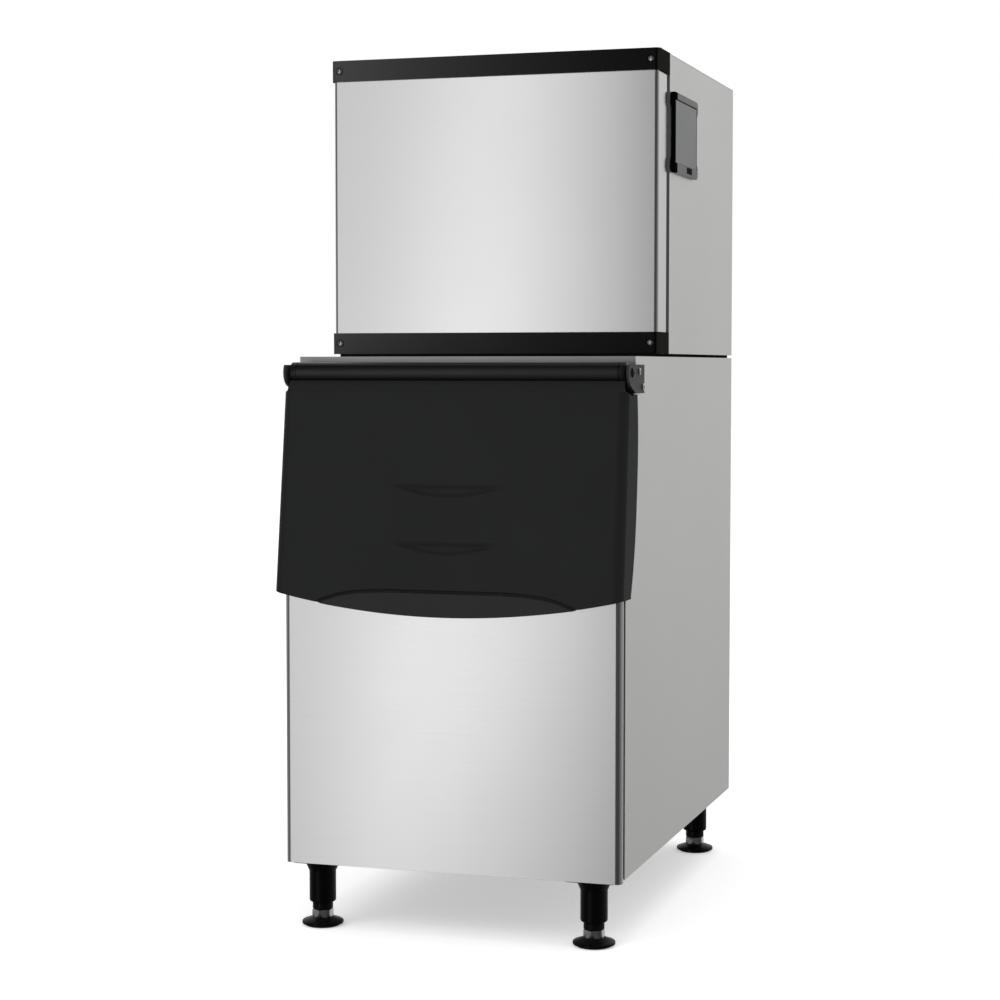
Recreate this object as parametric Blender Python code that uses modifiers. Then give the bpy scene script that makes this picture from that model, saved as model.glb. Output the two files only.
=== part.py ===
"""Cube ice machine: an ice-making head on a storage bin, on four adjustable legs.

Units are metres. +Z is up and -Y is the front. The origin is on the floor, under the
middle of the machine. Inside the functions, y is measured back from the bin's front
panel: the empty named machine, which carries every piece, moves that plane to its place.
"""

import math

import bmesh
import bpy

# Overall sizes
HALF_WIDTH = 0.280
BODY_DEPTH = 0.815
LEG_HEIGHT = 0.110
BIN_HEIGHT = 0.8075
HEAD_HEIGHT = 0.4885
HEAD_SETBACK = 0.226
SEAM_HEIGHT = 0.005

# Sheet metal and fits
SHEET = 0.0012
CLEAR = 0.0003
PANEL_CORNER = 0.010
FRONT_INSET = 0.0015
BIN_RETURN = 0.014
FRONT_HANG = 0.005
SIDE_GAP = 0.002

# Bin: insulated tub, mouth and top deck
TUB_WALL = 0.042
SILL_ABOVE_BIN_FLOOR = 0.460
MOUTH_SETBACK = 0.0755
DECK_THICKNESS = 0.020
DECK_OPENING_MARGIN = 0.045
DECK_OPENING_DEPTH = 0.310
MOUTH_FRAME_THICKNESS = 0.006
MOUTH_FRAME_SILL_BAR = 0.012
MOUTH_FRAME_TOP_BAR = 0.024
MOUTH_FRAME_SIDE_BAR = 0.041
PANEL_BELOW_SILL = 0.008
BAFFLE_SHEET = 0.002
BAFFLE_BELOW_SILL = 0.050
BAFFLE_ABOVE_SILL = 0.080
BAFFLE_LEAN = 0.020
DRAIN_RADIUS = 0.0125
DRAIN_BORE = 0.009
DRAIN_FLANGE_RADIUS = 0.026
DRAIN_FLANGE = 0.004
DRAIN_TAIL = 0.025
DRAIN_FROM_REAR = 0.115

# Legs
LEG_FROM_SIDE = 0.053
FRONT_LEG_Y = 0.032
REAR_LEG_FROM_REAR = 0.055
LEG_PLATE_WIDTH = 0.082
LEG_PLATE_LENGTH = 0.060
LEG_PLATE = 0.006
COLLAR_RADIUS = 0.028
COLLAR_HEIGHT = 0.0155
SLEEVE_RADIUS = 0.0215
SLEEVE_CHAMFER = 0.0025
SLEEVE_BORE = 0.0086
STEM_RADIUS = 0.0082
STEM_LENGTH = 0.040
SPARE_BORE = 0.012
NECK_RADIUS = 0.0165
NECK_HEIGHT = 0.0125
HEX_ACROSS_FLATS = 0.030
HEX_HEIGHT = 0.0125
DISC_RADIUS = 0.0335
DISC_EDGE = 0.004
DISC_HEIGHT = 0.0135
PAD_RADIUS = 0.028
PAD_HEIGHT = 0.003

# Door: shell, hinge roll, finger marks, finger pull, inner tray
PIN_AHEAD_OF_DECK = 0.0375
PIN_BELOW_DECK = 0.0255
ROLL_RADIUS = 0.0165
ROLL_END_GAP = 0.0035
DOOR_WALL = 0.0032
DOOR_TOP_AHEAD = 0.0245
DOOR_TOP_BELOW = 0.026
DOOR_BELOW_SILL = 0.025
DOOR_ARC_DROP = 0.033
DOOR_LEAN = 0.041
DOOR_SIDE_GAP = 0.0012
DOOR_FLARE = 0.0015
DOOR_CORNER_RADIUS = 0.016
DOOR_SIDE_DEPTH_TOP = 0.055
DOOR_SIDE_DEPTH_MIDDLE = 0.0735
DOOR_SIDE_DEPTH_BOTTOM = 0.052
DOOR_NOTCH_RADIUS = 0.0355
BRACKET_CLEARANCE = 0.0015
DIMPLE_HALF_WIDTHS = (0.108, 0.101)
DIMPLES_ABOVE_CORNER = (0.1755, 0.086)
DIMPLE_HEIGHT = 0.024
DIMPLE_DEPTH = 0.0028
PULL_FROM_SIDE = 0.065
PULL_RISE = 0.004
PULL_GROOVE = 0.0025
PULL_FLARE = 0.0075
TRAY_FROM_SIDE = 0.018
TRAY_WALL = 0.0025
TRAY_BELOW_PIN = 0.031
TRAY_ABOVE_SILL = -0.006

# Hinge brackets, pins and screws
BRACKET_THICKNESS = 0.004
BRACKET_NOSE = 0.023
BRACKET_REAR = 0.077
BRACKET_RISE = 0.0125
BRACKET_DROP = 0.032
BRACKET_HEEL = 0.022
BRACKET_BOSS_RADIUS = 0.008
PIN_RADIUS = 0.004
PIN_CLEARANCE = 0.0003
PIN_HEAD_RADIUS = 0.0075
PIN_ENGAGEMENT = 0.024
SCREW_HEAD_HEIGHT = 0.0026
BRACKET_SCREW_HEAD = 0.0055
BRACKET_SCREW_SHANK = 0.002
BRACKET_SCREWS = ((0.043, 0.002), (0.066, -0.022))

# Head: panels and trims
HEAD_CORNER = 0.006
HEAD_RETURN = 0.059
CHANNEL_DEPTH = 0.006
CHANNEL_WIDTH = 0.033
TRIM_HEIGHT = 0.035
TRIM_WALL = 0.003
TRIM_PROUD = 0.0015
TRIM_CORNER = 0.008
TRIM_RETURN = 0.072
TRIM_SCREW_FROM_SIDE = 0.0145
TRIM_SCREW_HEAD = 0.0048
TRIM_SCREW_SHANK = 0.0018
TRIM_RECESS_RADIUS = 0.0068
TRIM_RECESS_DEPTH = 0.0016
BASE_TRAY_FLOOR = 0.006
BASE_TRAY_RIM = 0.030
BASE_TRAY_WALL = 0.003
DROP_FROM_LEFT = 0.035
DROP_FROM_DIVIDER = 0.017
DROP_FROM_FRONT = 0.050
DROP_DEPTH = 0.190
MACHINE_BAY = 0.218
DIVIDER_SHEET = 0.002
DIVIDER_BELOW_TOP = 0.020
LOUVRE_INSIDE_CONDENSER = 0.013
LOUVRE_HEIGHT = 0.006
LOUVRE_PITCH = 0.015
LOUVRE_COUNT = 12

# Side hatch: bezel, flap, latch, control pocket and rocker
HATCH_FROM_FRONT = 0.169
HATCH_BELOW_TOP = 0.1255
HATCH_WIDTH = 0.180
HATCH_WAIST = 0.164
HATCH_HEIGHT = 0.131
HATCH_LOBE = 0.0265
HATCH_PROUD = 0.0064
HATCH_CORNER = 0.009
HATCH_EDGE = 0.0035
FLAP_WIDTH = 0.156
FLAP_BELOW_TOP = 0.011
FLAP_ABOVE_LOW = 0.016
FLAP_THICKNESS = 0.0028
WINDOW_WIDTH = 0.112
WINDOW_HEIGHT = 0.055
FLAP_PIN_RADIUS = 0.0010
FLAP_PIN_LENGTH = 0.002
LATCH_WIDTH = 0.038
LATCH_HEIGHT = 0.0095
LATCH_BACK = 0.024
LATCH_WALL = 0.0012
LATCH_ROOM = 0.0018
LATCH_PROUD = 0.0003
POCKET_DEPTH = 0.025
POCKET_WALL = 0.002
POCKET_FLANGE = 0.012
DISPLAY_WIDTH = 0.044
DISPLAY_HEIGHT = 0.026
ROCKER_WIDTH = 0.014
ROCKER_HALF_LENGTH = 0.010
ROCKER_RISE = 0.0035
ROCKER_TILT = math.radians(8)
ROCKER_FROM_POCKET_END = 0.030

# Ice-making parts
EVAPORATOR_FROM_LEFT = 0.045
EVAPORATOR_FROM_DIVIDER = 0.022
EVAPORATOR_FROM_FRONT = 0.279
EVAPORATOR_THICKNESS = 0.025
EVAPORATOR_HEIGHT = 0.270
EVAPORATOR_BELOW_TOP = 0.085
CUBE_COLUMNS = 9
CUBE_ROWS = 9
CUBE_WALL = 0.004
CUBE_DEPTH = 0.018
RAIL_THICKNESS = 0.014
RAIL_HEIGHT = 0.014
EAR_THICKNESS = 0.006
EAR_FROM_PLATE = 0.003
CURTAIN_AHEAD = 0.064
CURTAIN_SHEET = 0.002
CURTAIN_BELOW_PLATE = 0.020
CURTAIN_ROD_RADIUS = 0.003
ROD_CLEARANCE = 0.0003
PROBE_FROM_PLATE_END = 0.115
PROBE_AHEAD = 0.027
PROBE_WIDTH = 0.028
PROBE_LENGTH = 0.060
PROBE_THICKNESS = 0.003
PROBE_ROD_RADIUS = 0.002
TROUGH_BELOW_PLATE = 0.020
TROUGH_HEIGHT = 0.050
TROUGH_WALL = 0.0025
TROUGH_AHEAD = 0.025
TROUGH_DEPTH = 0.120
TROUGH_LEG = 0.010
PUMP_FROM_LEFT = 0.036
PUMP_RADIUS = 0.022
PUMP_HEIGHT = 0.060
PUMP_TUBE_RADIUS = 0.012
PUMP_FLANGE = 0.003
PUMP_SPIGOT = 0.010
HOSE_RADIUS = 0.009

# Refrigeration parts
COMPRESSOR_FROM_SIDE = 0.112
COMPRESSOR_FROM_FRONT = 0.174
COMPRESSOR_RADIUS = 0.072
COMPRESSOR_HEIGHT = 0.190
COMPRESSOR_BASE = 0.150
COMPRESSOR_BASE_THICKNESS = 0.005
COMPRESSOR_FOOT = 0.012
COMPRESSOR_STUB = 0.012
PIPE_RADIUS = 0.005
PIPE_BEND = 0.020
PIPE_CLEARANCE = 0.0003
CONDENSER_FROM_REAR = 0.175
CONDENSER_THICKNESS = 0.040
CONDENSER_SIDE_GAP = 0.0071
CONDENSER_HEIGHT = 0.220
FIN_COUNT = 14
FIN_GAP = 0.008
FIN_DEPTH = 0.012
FAN_INSIDE_CONDENSER = 0.013
FAN_HUB_RADIUS = 0.020
FAN_HUB_LENGTH = 0.022
FAN_BLADES = 5
FAN_PITCH = math.radians(28)
FAN_SHAFT_RADIUS = 0.004
MOTOR_RADIUS = 0.034
MOTOR_LENGTH = 0.062
MOTOR_BAR_INSIDE_CONDENSER = 0.023
MOTOR_BAR_WIDTH = 0.018
MOTOR_BAR_THICKNESS = 0.008
MOTOR_SHAFT_LENGTH = 0.030
CONTROL_BOX_FROM_FRONT = 0.030
CONTROL_BOX_DEPTH = 0.180
CONTROL_BOX_WIDTH = 0.070
CONTROL_BOX_HEIGHT = 0.150
CONTROL_BOX_BELOW_TOP = 0.030
SERVICE_REACH = 0.020
VALVE_FROM_SIDE = 0.080
VALVE_ABOVE_HEAD_BOTTOM = 0.180
VALVE_SPIGOT = 0.010
VALVE_BODY = 0.030
GLAND_FROM_SIDE = 0.055
GLAND_BELOW_TOP = 0.090
GLAND_RADIUS = 0.011
GLAND_BORE = 0.0042

# Heights and depths that follow from the sizes above
BIN_TOP = LEG_HEIGHT + BIN_HEIGHT
HEAD_BOTTOM = BIN_TOP + SEAM_HEIGHT
HEAD_TOP = HEAD_BOTTOM + HEAD_HEIGHT
DECK_BOTTOM = BIN_TOP - DECK_THICKNESS
SILL_Z = LEG_HEIGHT + SILL_ABOVE_BIN_FLOOR
INNER_HALF = HALF_WIDTH - SHEET - CLEAR
FRONT_HALF = HALF_WIDTH - FRONT_INSET
TUB_HALF = FRONT_HALF - SHEET - CLEAR
TUB_FRONT = SHEET + CLEAR
TUB_REAR = BODY_DEPTH - SHEET - CLEAR
TUB_FLOOR = LEG_HEIGHT + SHEET + CLEAR
CAVITY_HALF = TUB_HALF - TUB_WALL
LEG_X = HALF_WIDTH - LEG_FROM_SIDE
PULL_HALF_WIDTH = HALF_WIDTH - PULL_FROM_SIDE
TRAY_HALF_WIDTH = HALF_WIDTH - TRAY_FROM_SIDE
MOUTH_ANGLE = math.atan2(MOUTH_SETBACK - TUB_FRONT, DECK_BOTTOM - SILL_Z)
PIN_Y = MOUTH_SETBACK - PIN_AHEAD_OF_DECK
PIN_Z = BIN_TOP - PIN_BELOW_DECK
DOOR_TOP_Z = PIN_Z - DOOR_TOP_BELOW
DOOR_CORNER_Z = SILL_Z - DOOR_BELOW_SILL
DOOR_TOP_Y = PIN_Y - DOOR_TOP_AHEAD
DOOR_TOP_HALF = HALF_WIDTH + DOOR_SIDE_GAP + DOOR_WALL
ROLL_HALF = HALF_WIDTH - ROLL_END_GAP
BRACKET_IN = HALF_WIDTH + CLEAR
BRACKET_OUT = BRACKET_IN + BRACKET_THICKNESS
HEAD_REAR_IN = BODY_DEPTH - SHEET - CLEAR
BASE_TRAY_Z = BIN_TOP + CLEAR
BASE_TRAY_HALF = HALF_WIDTH - CHANNEL_DEPTH - SHEET - 2 * CLEAR
BASE_TRAY_FRONT = HEAD_SETBACK + SHEET + CLEAR
FLOOR_Z = BASE_TRAY_Z + BASE_TRAY_FLOOR + CLEAR
HATCH_Y = HEAD_SETBACK + HATCH_FROM_FRONT
HATCH_Z = HEAD_TOP - HATCH_BELOW_TOP
HATCH_IN = HALF_WIDTH + CLEAR
HATCH_OUT = HATCH_IN + HATCH_PROUD
DIVIDER_X = HALF_WIDTH - MACHINE_BAY
DROP_LEFT = DROP_FROM_LEFT - HALF_WIDTH
DROP_RIGHT = DIVIDER_X - DROP_FROM_DIVIDER
EVAPORATOR_LEFT = EVAPORATOR_FROM_LEFT - HALF_WIDTH
EVAPORATOR_RIGHT = DIVIDER_X - EVAPORATOR_FROM_DIVIDER
PROBE_X = EVAPORATOR_LEFT + PROBE_FROM_PLATE_END
EVAPORATOR_Y = HEAD_SETBACK + EVAPORATOR_FROM_FRONT
PLATE_TOP = HEAD_TOP - EVAPORATOR_BELOW_TOP
PLATE_BOTTOM = PLATE_TOP - EVAPORATOR_HEIGHT
RAIL_Z = PLATE_TOP + RAIL_HEIGHT / 2
TROUGH_TOP = PLATE_BOTTOM - TROUGH_BELOW_PLATE
TROUGH_FRONT = EVAPORATOR_Y - TROUGH_AHEAD
TROUGH_REAR = TROUGH_FRONT + TROUGH_DEPTH
PUMP_X = EVAPORATOR_LEFT + PUMP_FROM_LEFT
PUMP_Y = TROUGH_REAR - PUMP_RADIUS - 2 * TROUGH_WALL
PUMP_TOP = TROUGH_TOP + CLEAR + PUMP_FLANGE + PUMP_HEIGHT
COMPRESSOR_X = HALF_WIDTH - COMPRESSOR_FROM_SIDE
COMPRESSOR_Y = HEAD_SETBACK + COMPRESSOR_FROM_FRONT
COMPRESSOR_TOP = FLOOR_Z + COMPRESSOR_FOOT + COMPRESSOR_BASE_THICKNESS + COMPRESSOR_HEIGHT
CONDENSER_X = (DIVIDER_X + BASE_TRAY_HALF) / 2
CONDENSER_WIDTH = BASE_TRAY_HALF - DIVIDER_X - 2 * CONDENSER_SIDE_GAP
LOUVRE_LENGTH = CONDENSER_WIDTH - 2 * LOUVRE_INSIDE_CONDENSER
FAN_RADIUS = CONDENSER_WIDTH / 2 - FAN_INSIDE_CONDENSER
MOTOR_BAR = CONDENSER_WIDTH - 2 * MOTOR_BAR_INSIDE_CONDENSER
CONDENSER_Y = BODY_DEPTH - CONDENSER_FROM_REAR
FAN_Z = FLOOR_Z + CONDENSER_HEIGHT / 2
MOTOR_FRONT = HEAD_REAR_IN - MOTOR_BAR_THICKNESS - MOTOR_LENGTH
GLAND_Z = HEAD_TOP - GLAND_BELOW_TOP
GLAND_X = HALF_WIDTH - GLAND_FROM_SIDE
VALVE_X = VALVE_FROM_SIDE - HALF_WIDTH
VALVE_Z = HEAD_BOTTOM + VALVE_ABOVE_HEAD_BOTTOM

ROUND_STEPS = 24
PLAIN_FLAT = (math.pi / 2, 0, math.pi / 2)
FACING_FRONT = (math.pi / 2, 0, 0)
ALONG_X = (0, math.pi / 2, 0)
ALONG_Y = (-math.pi / 2, 0, 0)


def door_front_y(z):
    """Front face of the door, from its top to its lowest point."""
    return DOOR_TOP_Y - DOOR_LEAN * (DOOR_TOP_Z - z) / (DOOR_TOP_Z - DOOR_CORNER_Z)


def mouth_y(z):
    """Slanted plane of the tub's mouth."""
    return TUB_FRONT + (z - SILL_Z) * math.tan(MOUTH_ANGLE)


FRONT_REACH = PULL_FLARE - door_front_y(DOOR_CORNER_Z - DOOR_ARC_DROP)
REAR_REACH = BODY_DEPTH + SERVICE_REACH
MIDDLE_Y = (REAR_REACH - FRONT_REACH) / 2


# Scene, collections and finishes
for old in list(bpy.data.objects):
    bpy.data.objects.remove(old, do_unlink=True)

parts = bpy.data.collections.new("cube_ice_machine")
cutters = bpy.data.collections.new("cutters")
bpy.context.scene.collection.children.link(parts)
bpy.context.scene.collection.children.link(cutters)


def finish(name, colour, roughness, metallic):
    """A Principled material."""
    made = bpy.data.materials.new(name)
    made.use_nodes = True
    shader = made.node_tree.nodes["Principled BSDF"]
    shader.inputs["Base Color"].default_value = (*colour, 1)
    shader.inputs["Roughness"].default_value = roughness
    shader.inputs["Metallic"].default_value = metallic
    made.diffuse_color = (*colour, 1)
    return made


SATIN_STEEL = finish("satin_steel", (0.62, 0.61, 0.59), 0.32, 1.0)
SIDE_STEEL = finish("side_steel", (0.55, 0.55, 0.53), 0.38, 1.0)
REAR_STEEL = finish("rear_steel", (0.50, 0.51, 0.51), 0.45, 1.0)
BRIGHT_STEEL = finish("bright_steel", (0.75, 0.75, 0.74), 0.18, 1.0)
BLACK_MOULDING = finish("black_moulding", (0.022, 0.022, 0.024), 0.42, 0.0)
BLACK_GLOSS = finish("black_gloss", (0.012, 0.012, 0.013), 0.25, 0.0)
BRACKET_GREY = finish("bracket_grey", (0.060, 0.059, 0.057), 0.45, 0.0)
HATCH_GREY = finish("hatch_grey", (0.20, 0.20, 0.20), 0.30, 0.0)
LINER_WHITE = finish("liner_white", (0.62, 0.65, 0.68), 0.50, 0.0)
TRAY_GREY = finish("tray_grey", (0.22, 0.23, 0.24), 0.55, 0.0)
NICKEL = finish("nickel_plate", (0.66, 0.63, 0.57), 0.25, 1.0)
COPPER = finish("copper", (0.72, 0.36, 0.22), 0.30, 1.0)
COMPRESSOR_BLACK = finish("compressor_black", (0.015, 0.015, 0.015), 0.38, 0.0)
FIN_ALUMINIUM = finish("fin_aluminium", (0.70, 0.71, 0.72), 0.40, 1.0)
CLEAR_PLASTIC = finish("curtain_plastic", (0.55, 0.62, 0.66), 0.35, 0.0)
VALVE_BLUE = finish("valve_plastic", (0.06, 0.13, 0.30), 0.45, 0.0)


def empty(name, place):
    """An empty that carries pieces: the machine's own, or one on a joint's axis."""
    made = bpy.data.objects.new(name, None)
    made.empty_display_size = 0.05
    made.location = place
    parts.objects.link(made)
    return made


machine = empty("machine", (0, -MIDDLE_Y, 0))


def pivot(name, place):
    """An empty on a joint's axis, carried by the machine."""
    made = empty(name, place)
    made.parent = machine
    return made


def add(mesh, name, look, place=(0, 0, 0), turn=(0, 0, 0), carrier=None, rounded=True):
    """Put a finished mesh in the scene as one named piece."""
    made = bpy.data.objects.new(name, mesh)
    mesh.name = name
    mesh.materials.clear()
    mesh.materials.append(look)
    if rounded:
        mesh.shade_smooth()
        mesh.set_sharp_from_angle(angle=math.radians(32))
    parts.objects.link(made)
    made.rotation_euler = turn
    made.parent = carrier or machine
    start = carrier.location if carrier else (0, 0, 0)
    made.location = [spot - shift for spot, shift in zip(place, start)]
    return made


def add_cutter(mesh, name, place=(0, 0, 0), turn=(0, 0, 0)):
    """Put a mesh in the scene as a guide for Booleans."""
    made = bpy.data.objects.new(name, mesh)
    mesh.name = name
    cutters.objects.link(made)
    made.rotation_euler = turn
    made.location = place
    made.parent = machine
    made.hide_render = True
    made.display_type = "WIRE"
    return made


def boolean(piece, tool, operation):
    """Cut or join one mesh with another."""
    step = piece.modifiers.new(operation.lower(), "BOOLEAN")
    step.operation = operation
    step.solver = "EXACT"
    step.object = tool


def cut(piece, mesh, place=(0, 0, 0), turn=(0, 0, 0)):
    count = len(piece.modifiers) + 1
    boolean(piece, add_cutter(mesh, f"{piece.name}_cut_{count}", place, turn), "DIFFERENCE")


def join(piece, mesh, place=(0, 0, 0), turn=(0, 0, 0)):
    count = len(piece.modifiers) + 1
    boolean(piece, add_cutter(mesh, f"{piece.name}_join_{count}", place, turn), "UNION")


# Mesh makers
def block(low, high):
    """A box between two corners."""
    mesh = bpy.data.meshes.new("block")
    shape = bmesh.new()
    bmesh.ops.create_cube(shape, size=1)
    for vertex in shape.verts:
        for axis in range(3):
            middle = (low[axis] + high[axis]) / 2
            vertex.co[axis] = middle + vertex.co[axis] * (high[axis] - low[axis])
    shape.to_mesh(mesh)
    shape.free()
    return mesh


def rod(radius, low, high, steps=ROUND_STEPS):
    """A round or many-sided bar along its own Z."""
    mesh = bpy.data.meshes.new("rod")
    shape = bmesh.new()
    bmesh.ops.create_cone(
        shape, cap_ends=True, segments=steps, radius1=radius, radius2=radius, depth=high - low
    )
    bmesh.ops.translate(shape, verts=shape.verts, vec=(0, 0, (low + high) / 2))
    shape.to_mesh(mesh)
    shape.free()
    return mesh


def slab(outlines, low, high):
    """Flat outlines filled and extruded along their own Z: the first is the edge, the rest are holes."""
    curve = bpy.data.curves.new("slab", "CURVE")
    curve.dimensions = "2D"
    curve.fill_mode = "BOTH"
    curve.extrude = (high - low) / 2
    for outline in outlines:
        spline = curve.splines.new("POLY")
        spline.points.add(len(outline) - 1)
        for point, (u, v) in zip(spline.points, outline):
            point.co = (u, v, 0, 1)
        spline.use_cyclic_u = True
    return curve_mesh(curve, (0, 0, (low + high) / 2))


def curve_mesh(curve, shift=(0, 0, 0)):
    """The closed mesh of a curve, its caps welded on."""
    guide = bpy.data.objects.new("curve_guide", curve)
    cutters.objects.link(guide)
    bpy.context.view_layer.update()
    evaluated = guide.evaluated_get(bpy.context.evaluated_depsgraph_get())
    mesh = bpy.data.meshes.new_from_object(evaluated)
    bpy.data.objects.remove(guide, do_unlink=True)
    shape = bmesh.new()
    shape.from_mesh(mesh)
    bmesh.ops.remove_doubles(shape, verts=shape.verts, dist=0.00001)
    bmesh.ops.recalc_face_normals(shape, faces=shape.faces)
    bmesh.ops.translate(shape, verts=shape.verts, vec=shift)
    shape.to_mesh(mesh)
    shape.free()
    return mesh


def turned(profile, steps=ROUND_STEPS, closed=False):
    """A profile of (radius, height) points, outer side top to bottom, turned about Z."""
    outline = bpy.data.meshes.new("profile")
    points = [(radius, 0, height) for radius, height in profile]
    edges = [(index, index + 1) for index in range(len(points) - 1)]
    if closed:
        edges.append((len(points) - 1, 0))
    outline.from_pydata(points, edges, [])
    guide = bpy.data.objects.new("profile_guide", outline)
    cutters.objects.link(guide)
    screw = guide.modifiers.new("turn", "SCREW")
    screw.steps = steps
    screw.render_steps = steps
    screw.use_merge_vertices = True
    screw.merge_threshold = 0.00001
    mesh = evaluated_mesh(guide)
    bpy.data.objects.remove(guide, do_unlink=True)
    return mesh


def evaluated_mesh(guide):
    """The mesh of an object with its modifiers worked out."""
    bpy.context.view_layer.update()
    evaluated = guide.evaluated_get(bpy.context.evaluated_depsgraph_get())
    return bpy.data.meshes.new_from_object(evaluated)


def folded(path, low, high, thickness):
    """A sheet that follows a plan path, from one height to another.

    The path runs with the outer side on its right-hand side, so the sheet grows inwards.
    """
    flat = bpy.data.meshes.new("folded")
    shape = bmesh.new()
    line = [shape.verts.new((x, y, low)) for x, y in path]
    edges = [shape.edges.new(pair) for pair in zip(line, line[1:])]
    raised = bmesh.ops.extrude_edge_only(shape, edges=edges)["geom"]
    bmesh.ops.translate(
        shape,
        verts=[item for item in raised if isinstance(item, bmesh.types.BMVert)],
        vec=(0, 0, high - low),
    )
    for face in shape.faces:
        if face_points_inwards(face, path):
            face.normal_flip()
    shape.to_mesh(flat)
    shape.free()
    return thickened(flat, thickness)


def face_points_inwards(face, path):
    """True if a wall of a folded sheet faces the left-hand side of its path."""
    face.normal_update()
    corners = [vertex.co for vertex in face.verts]
    for start, end in zip(path, path[1:]):
        near = [corner for corner in corners if math.dist(corner[:2], start) < 1e-7]
        far = [corner for corner in corners if math.dist(corner[:2], end) < 1e-7]
        if near and far:
            right_hand = (end[1] - start[1], start[0] - end[0])
            return face.normal.x * right_hand[0] + face.normal.y * right_hand[1] < 0
    return False


def thickened(flat, thickness):
    """An open surface made a sheet that grows away from its normals."""
    guide = bpy.data.objects.new("sheet_guide", flat)
    cutters.objects.link(guide)
    solid = guide.modifiers.new("thickness", "SOLIDIFY")
    solid.thickness = thickness
    solid.offset = -1
    solid.use_even_offset = True
    mesh = evaluated_mesh(guide)
    bpy.data.objects.remove(guide, do_unlink=True)
    return mesh


def tube(route, radius, sides=2):
    """A round bar along a route of 3-D points."""
    curve = bpy.data.curves.new("tube", "CURVE")
    curve.dimensions = "3D"
    curve.bevel_depth = radius
    curve.bevel_resolution = sides
    curve.use_fill_caps = True
    spline = curve.splines.new("POLY")
    spline.points.add(len(route) - 1)
    for point, spot in zip(spline.points, route):
        point.co = (*spot, 1)
    return curve_mesh(curve)


# Outlines
def arc(centre, radius, start, end, steps):
    """Points on an arc, angles in degrees."""
    points = []
    for step in range(steps + 1):
        angle = math.radians(start + (end - start) * step / steps)
        points.append((centre[0] + radius * math.cos(angle), centre[1] + radius * math.sin(angle)))
    return points


def rectangle(low, high):
    return [(low[0], low[1]), (high[0], low[1]), (high[0], high[1]), (low[0], high[1])]


def around(centre, width, height):
    """A rectangle of a given size about a centre."""
    half = (width / 2, height / 2)
    low = (centre[0] - half[0], centre[1] - half[1])
    return rectangle(low, (centre[0] + half[0], centre[1] + half[1]))


def circle(centre, radius, steps=ROUND_STEPS):
    return arc(centre, radius, 0, 360, steps)[:-1]


def wrap(half, front, back, radius, steps=5):
    """Plan of a panel that wraps the front: left side, rounded corners, front, right side."""
    left = arc((-half + radius, front + radius), radius, 180, 270, steps)
    right = arc((half - radius, front + radius), radius, 270, 360, steps)
    return [(-half, back), *left, *right, (half, back)]


def rounded_route(corners, radius, steps=4):
    """A route with each inner corner replaced by a smooth bend."""
    route = [corners[0]]
    for before, corner, after in zip(corners, corners[1:], corners[2:]):
        entry = toward(corner, before, radius)
        leave = toward(corner, after, radius)
        for step in range(steps + 1):
            part = step / steps
            weights = ((1 - part) ** 2, 2 * part * (1 - part), part**2)
            spots = zip(entry, corner, leave)
            route.append(tuple(sum(w * s for w, s in zip(weights, spot)) for spot in spots))
    route.append(corners[-1])
    return route


def toward(start, end, distance):
    """The point at a distance from start on the way to end."""
    share = distance / math.dist(start, end)
    return tuple(a + (b - a) * share for a, b in zip(start, end))


# Bin
def make_bin_front():
    """Front panel, folded round both front corners and hanging a little below the sides."""
    path = wrap(FRONT_HALF, 0, BIN_RETURN, PANEL_CORNER)
    mesh = folded(path, LEG_HEIGHT - FRONT_HANG, SILL_Z - PANEL_BELOW_SILL, SHEET)
    add(mesh, "bin_front_panel", SATIN_STEEL)


def make_bin_sides():
    """Flat side panels with the slanted edge of the mouth, drilled for the bracket screws."""
    front = BIN_RETURN + SIDE_GAP
    edge = [
        (front, LEG_HEIGHT),
        (BODY_DEPTH, LEG_HEIGHT),
        (BODY_DEPTH, BIN_TOP),
        (MOUTH_SETBACK, BIN_TOP),
        (MOUTH_SETBACK, DECK_BOTTOM),
        (TUB_FRONT, SILL_Z + CLEAR),
        (front, SILL_Z + CLEAR),
    ]
    holes = [screw_hole(spot) for spot in BRACKET_SCREWS]
    for name, low in (("bin_side_left", -HALF_WIDTH), ("bin_side_right", HALF_WIDTH - SHEET)):
        add(slab([edge, *holes], low, low + SHEET), name, SIDE_STEEL, turn=PLAIN_FLAT, rounded=False)


def screw_hole(spot):
    """Clearance hole of a bracket screw, in the plane of the side panel."""
    centre = (PIN_Y + spot[0], PIN_Z + spot[1])
    return circle(centre, BRACKET_SCREW_SHANK + CLEAR, 16)


def make_bin_rear():
    low = (-INNER_HALF, BODY_DEPTH - SHEET, LEG_HEIGHT)
    add(block(low, (INNER_HALF, BODY_DEPTH, BIN_TOP)), "bin_rear_panel", REAR_STEEL, rounded=False)


def make_base_pan():
    """Flat pan under the tub, with the hole for the drain."""
    mesh = slab([tub_plan(), drain_hole()], LEG_HEIGHT, LEG_HEIGHT + SHEET)
    add(mesh, "bin_base_pan", REAR_STEEL, rounded=False)


def tub_plan():
    """Plan of the tub and the pan, rounded to fit behind the front panel."""
    return wrap(TUB_HALF, TUB_FRONT, TUB_REAR, PANEL_CORNER - SHEET - CLEAR)


def drain_hole():
    return circle((0, BODY_DEPTH - DRAIN_FROM_REAR), DRAIN_RADIUS + CLEAR)


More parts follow.
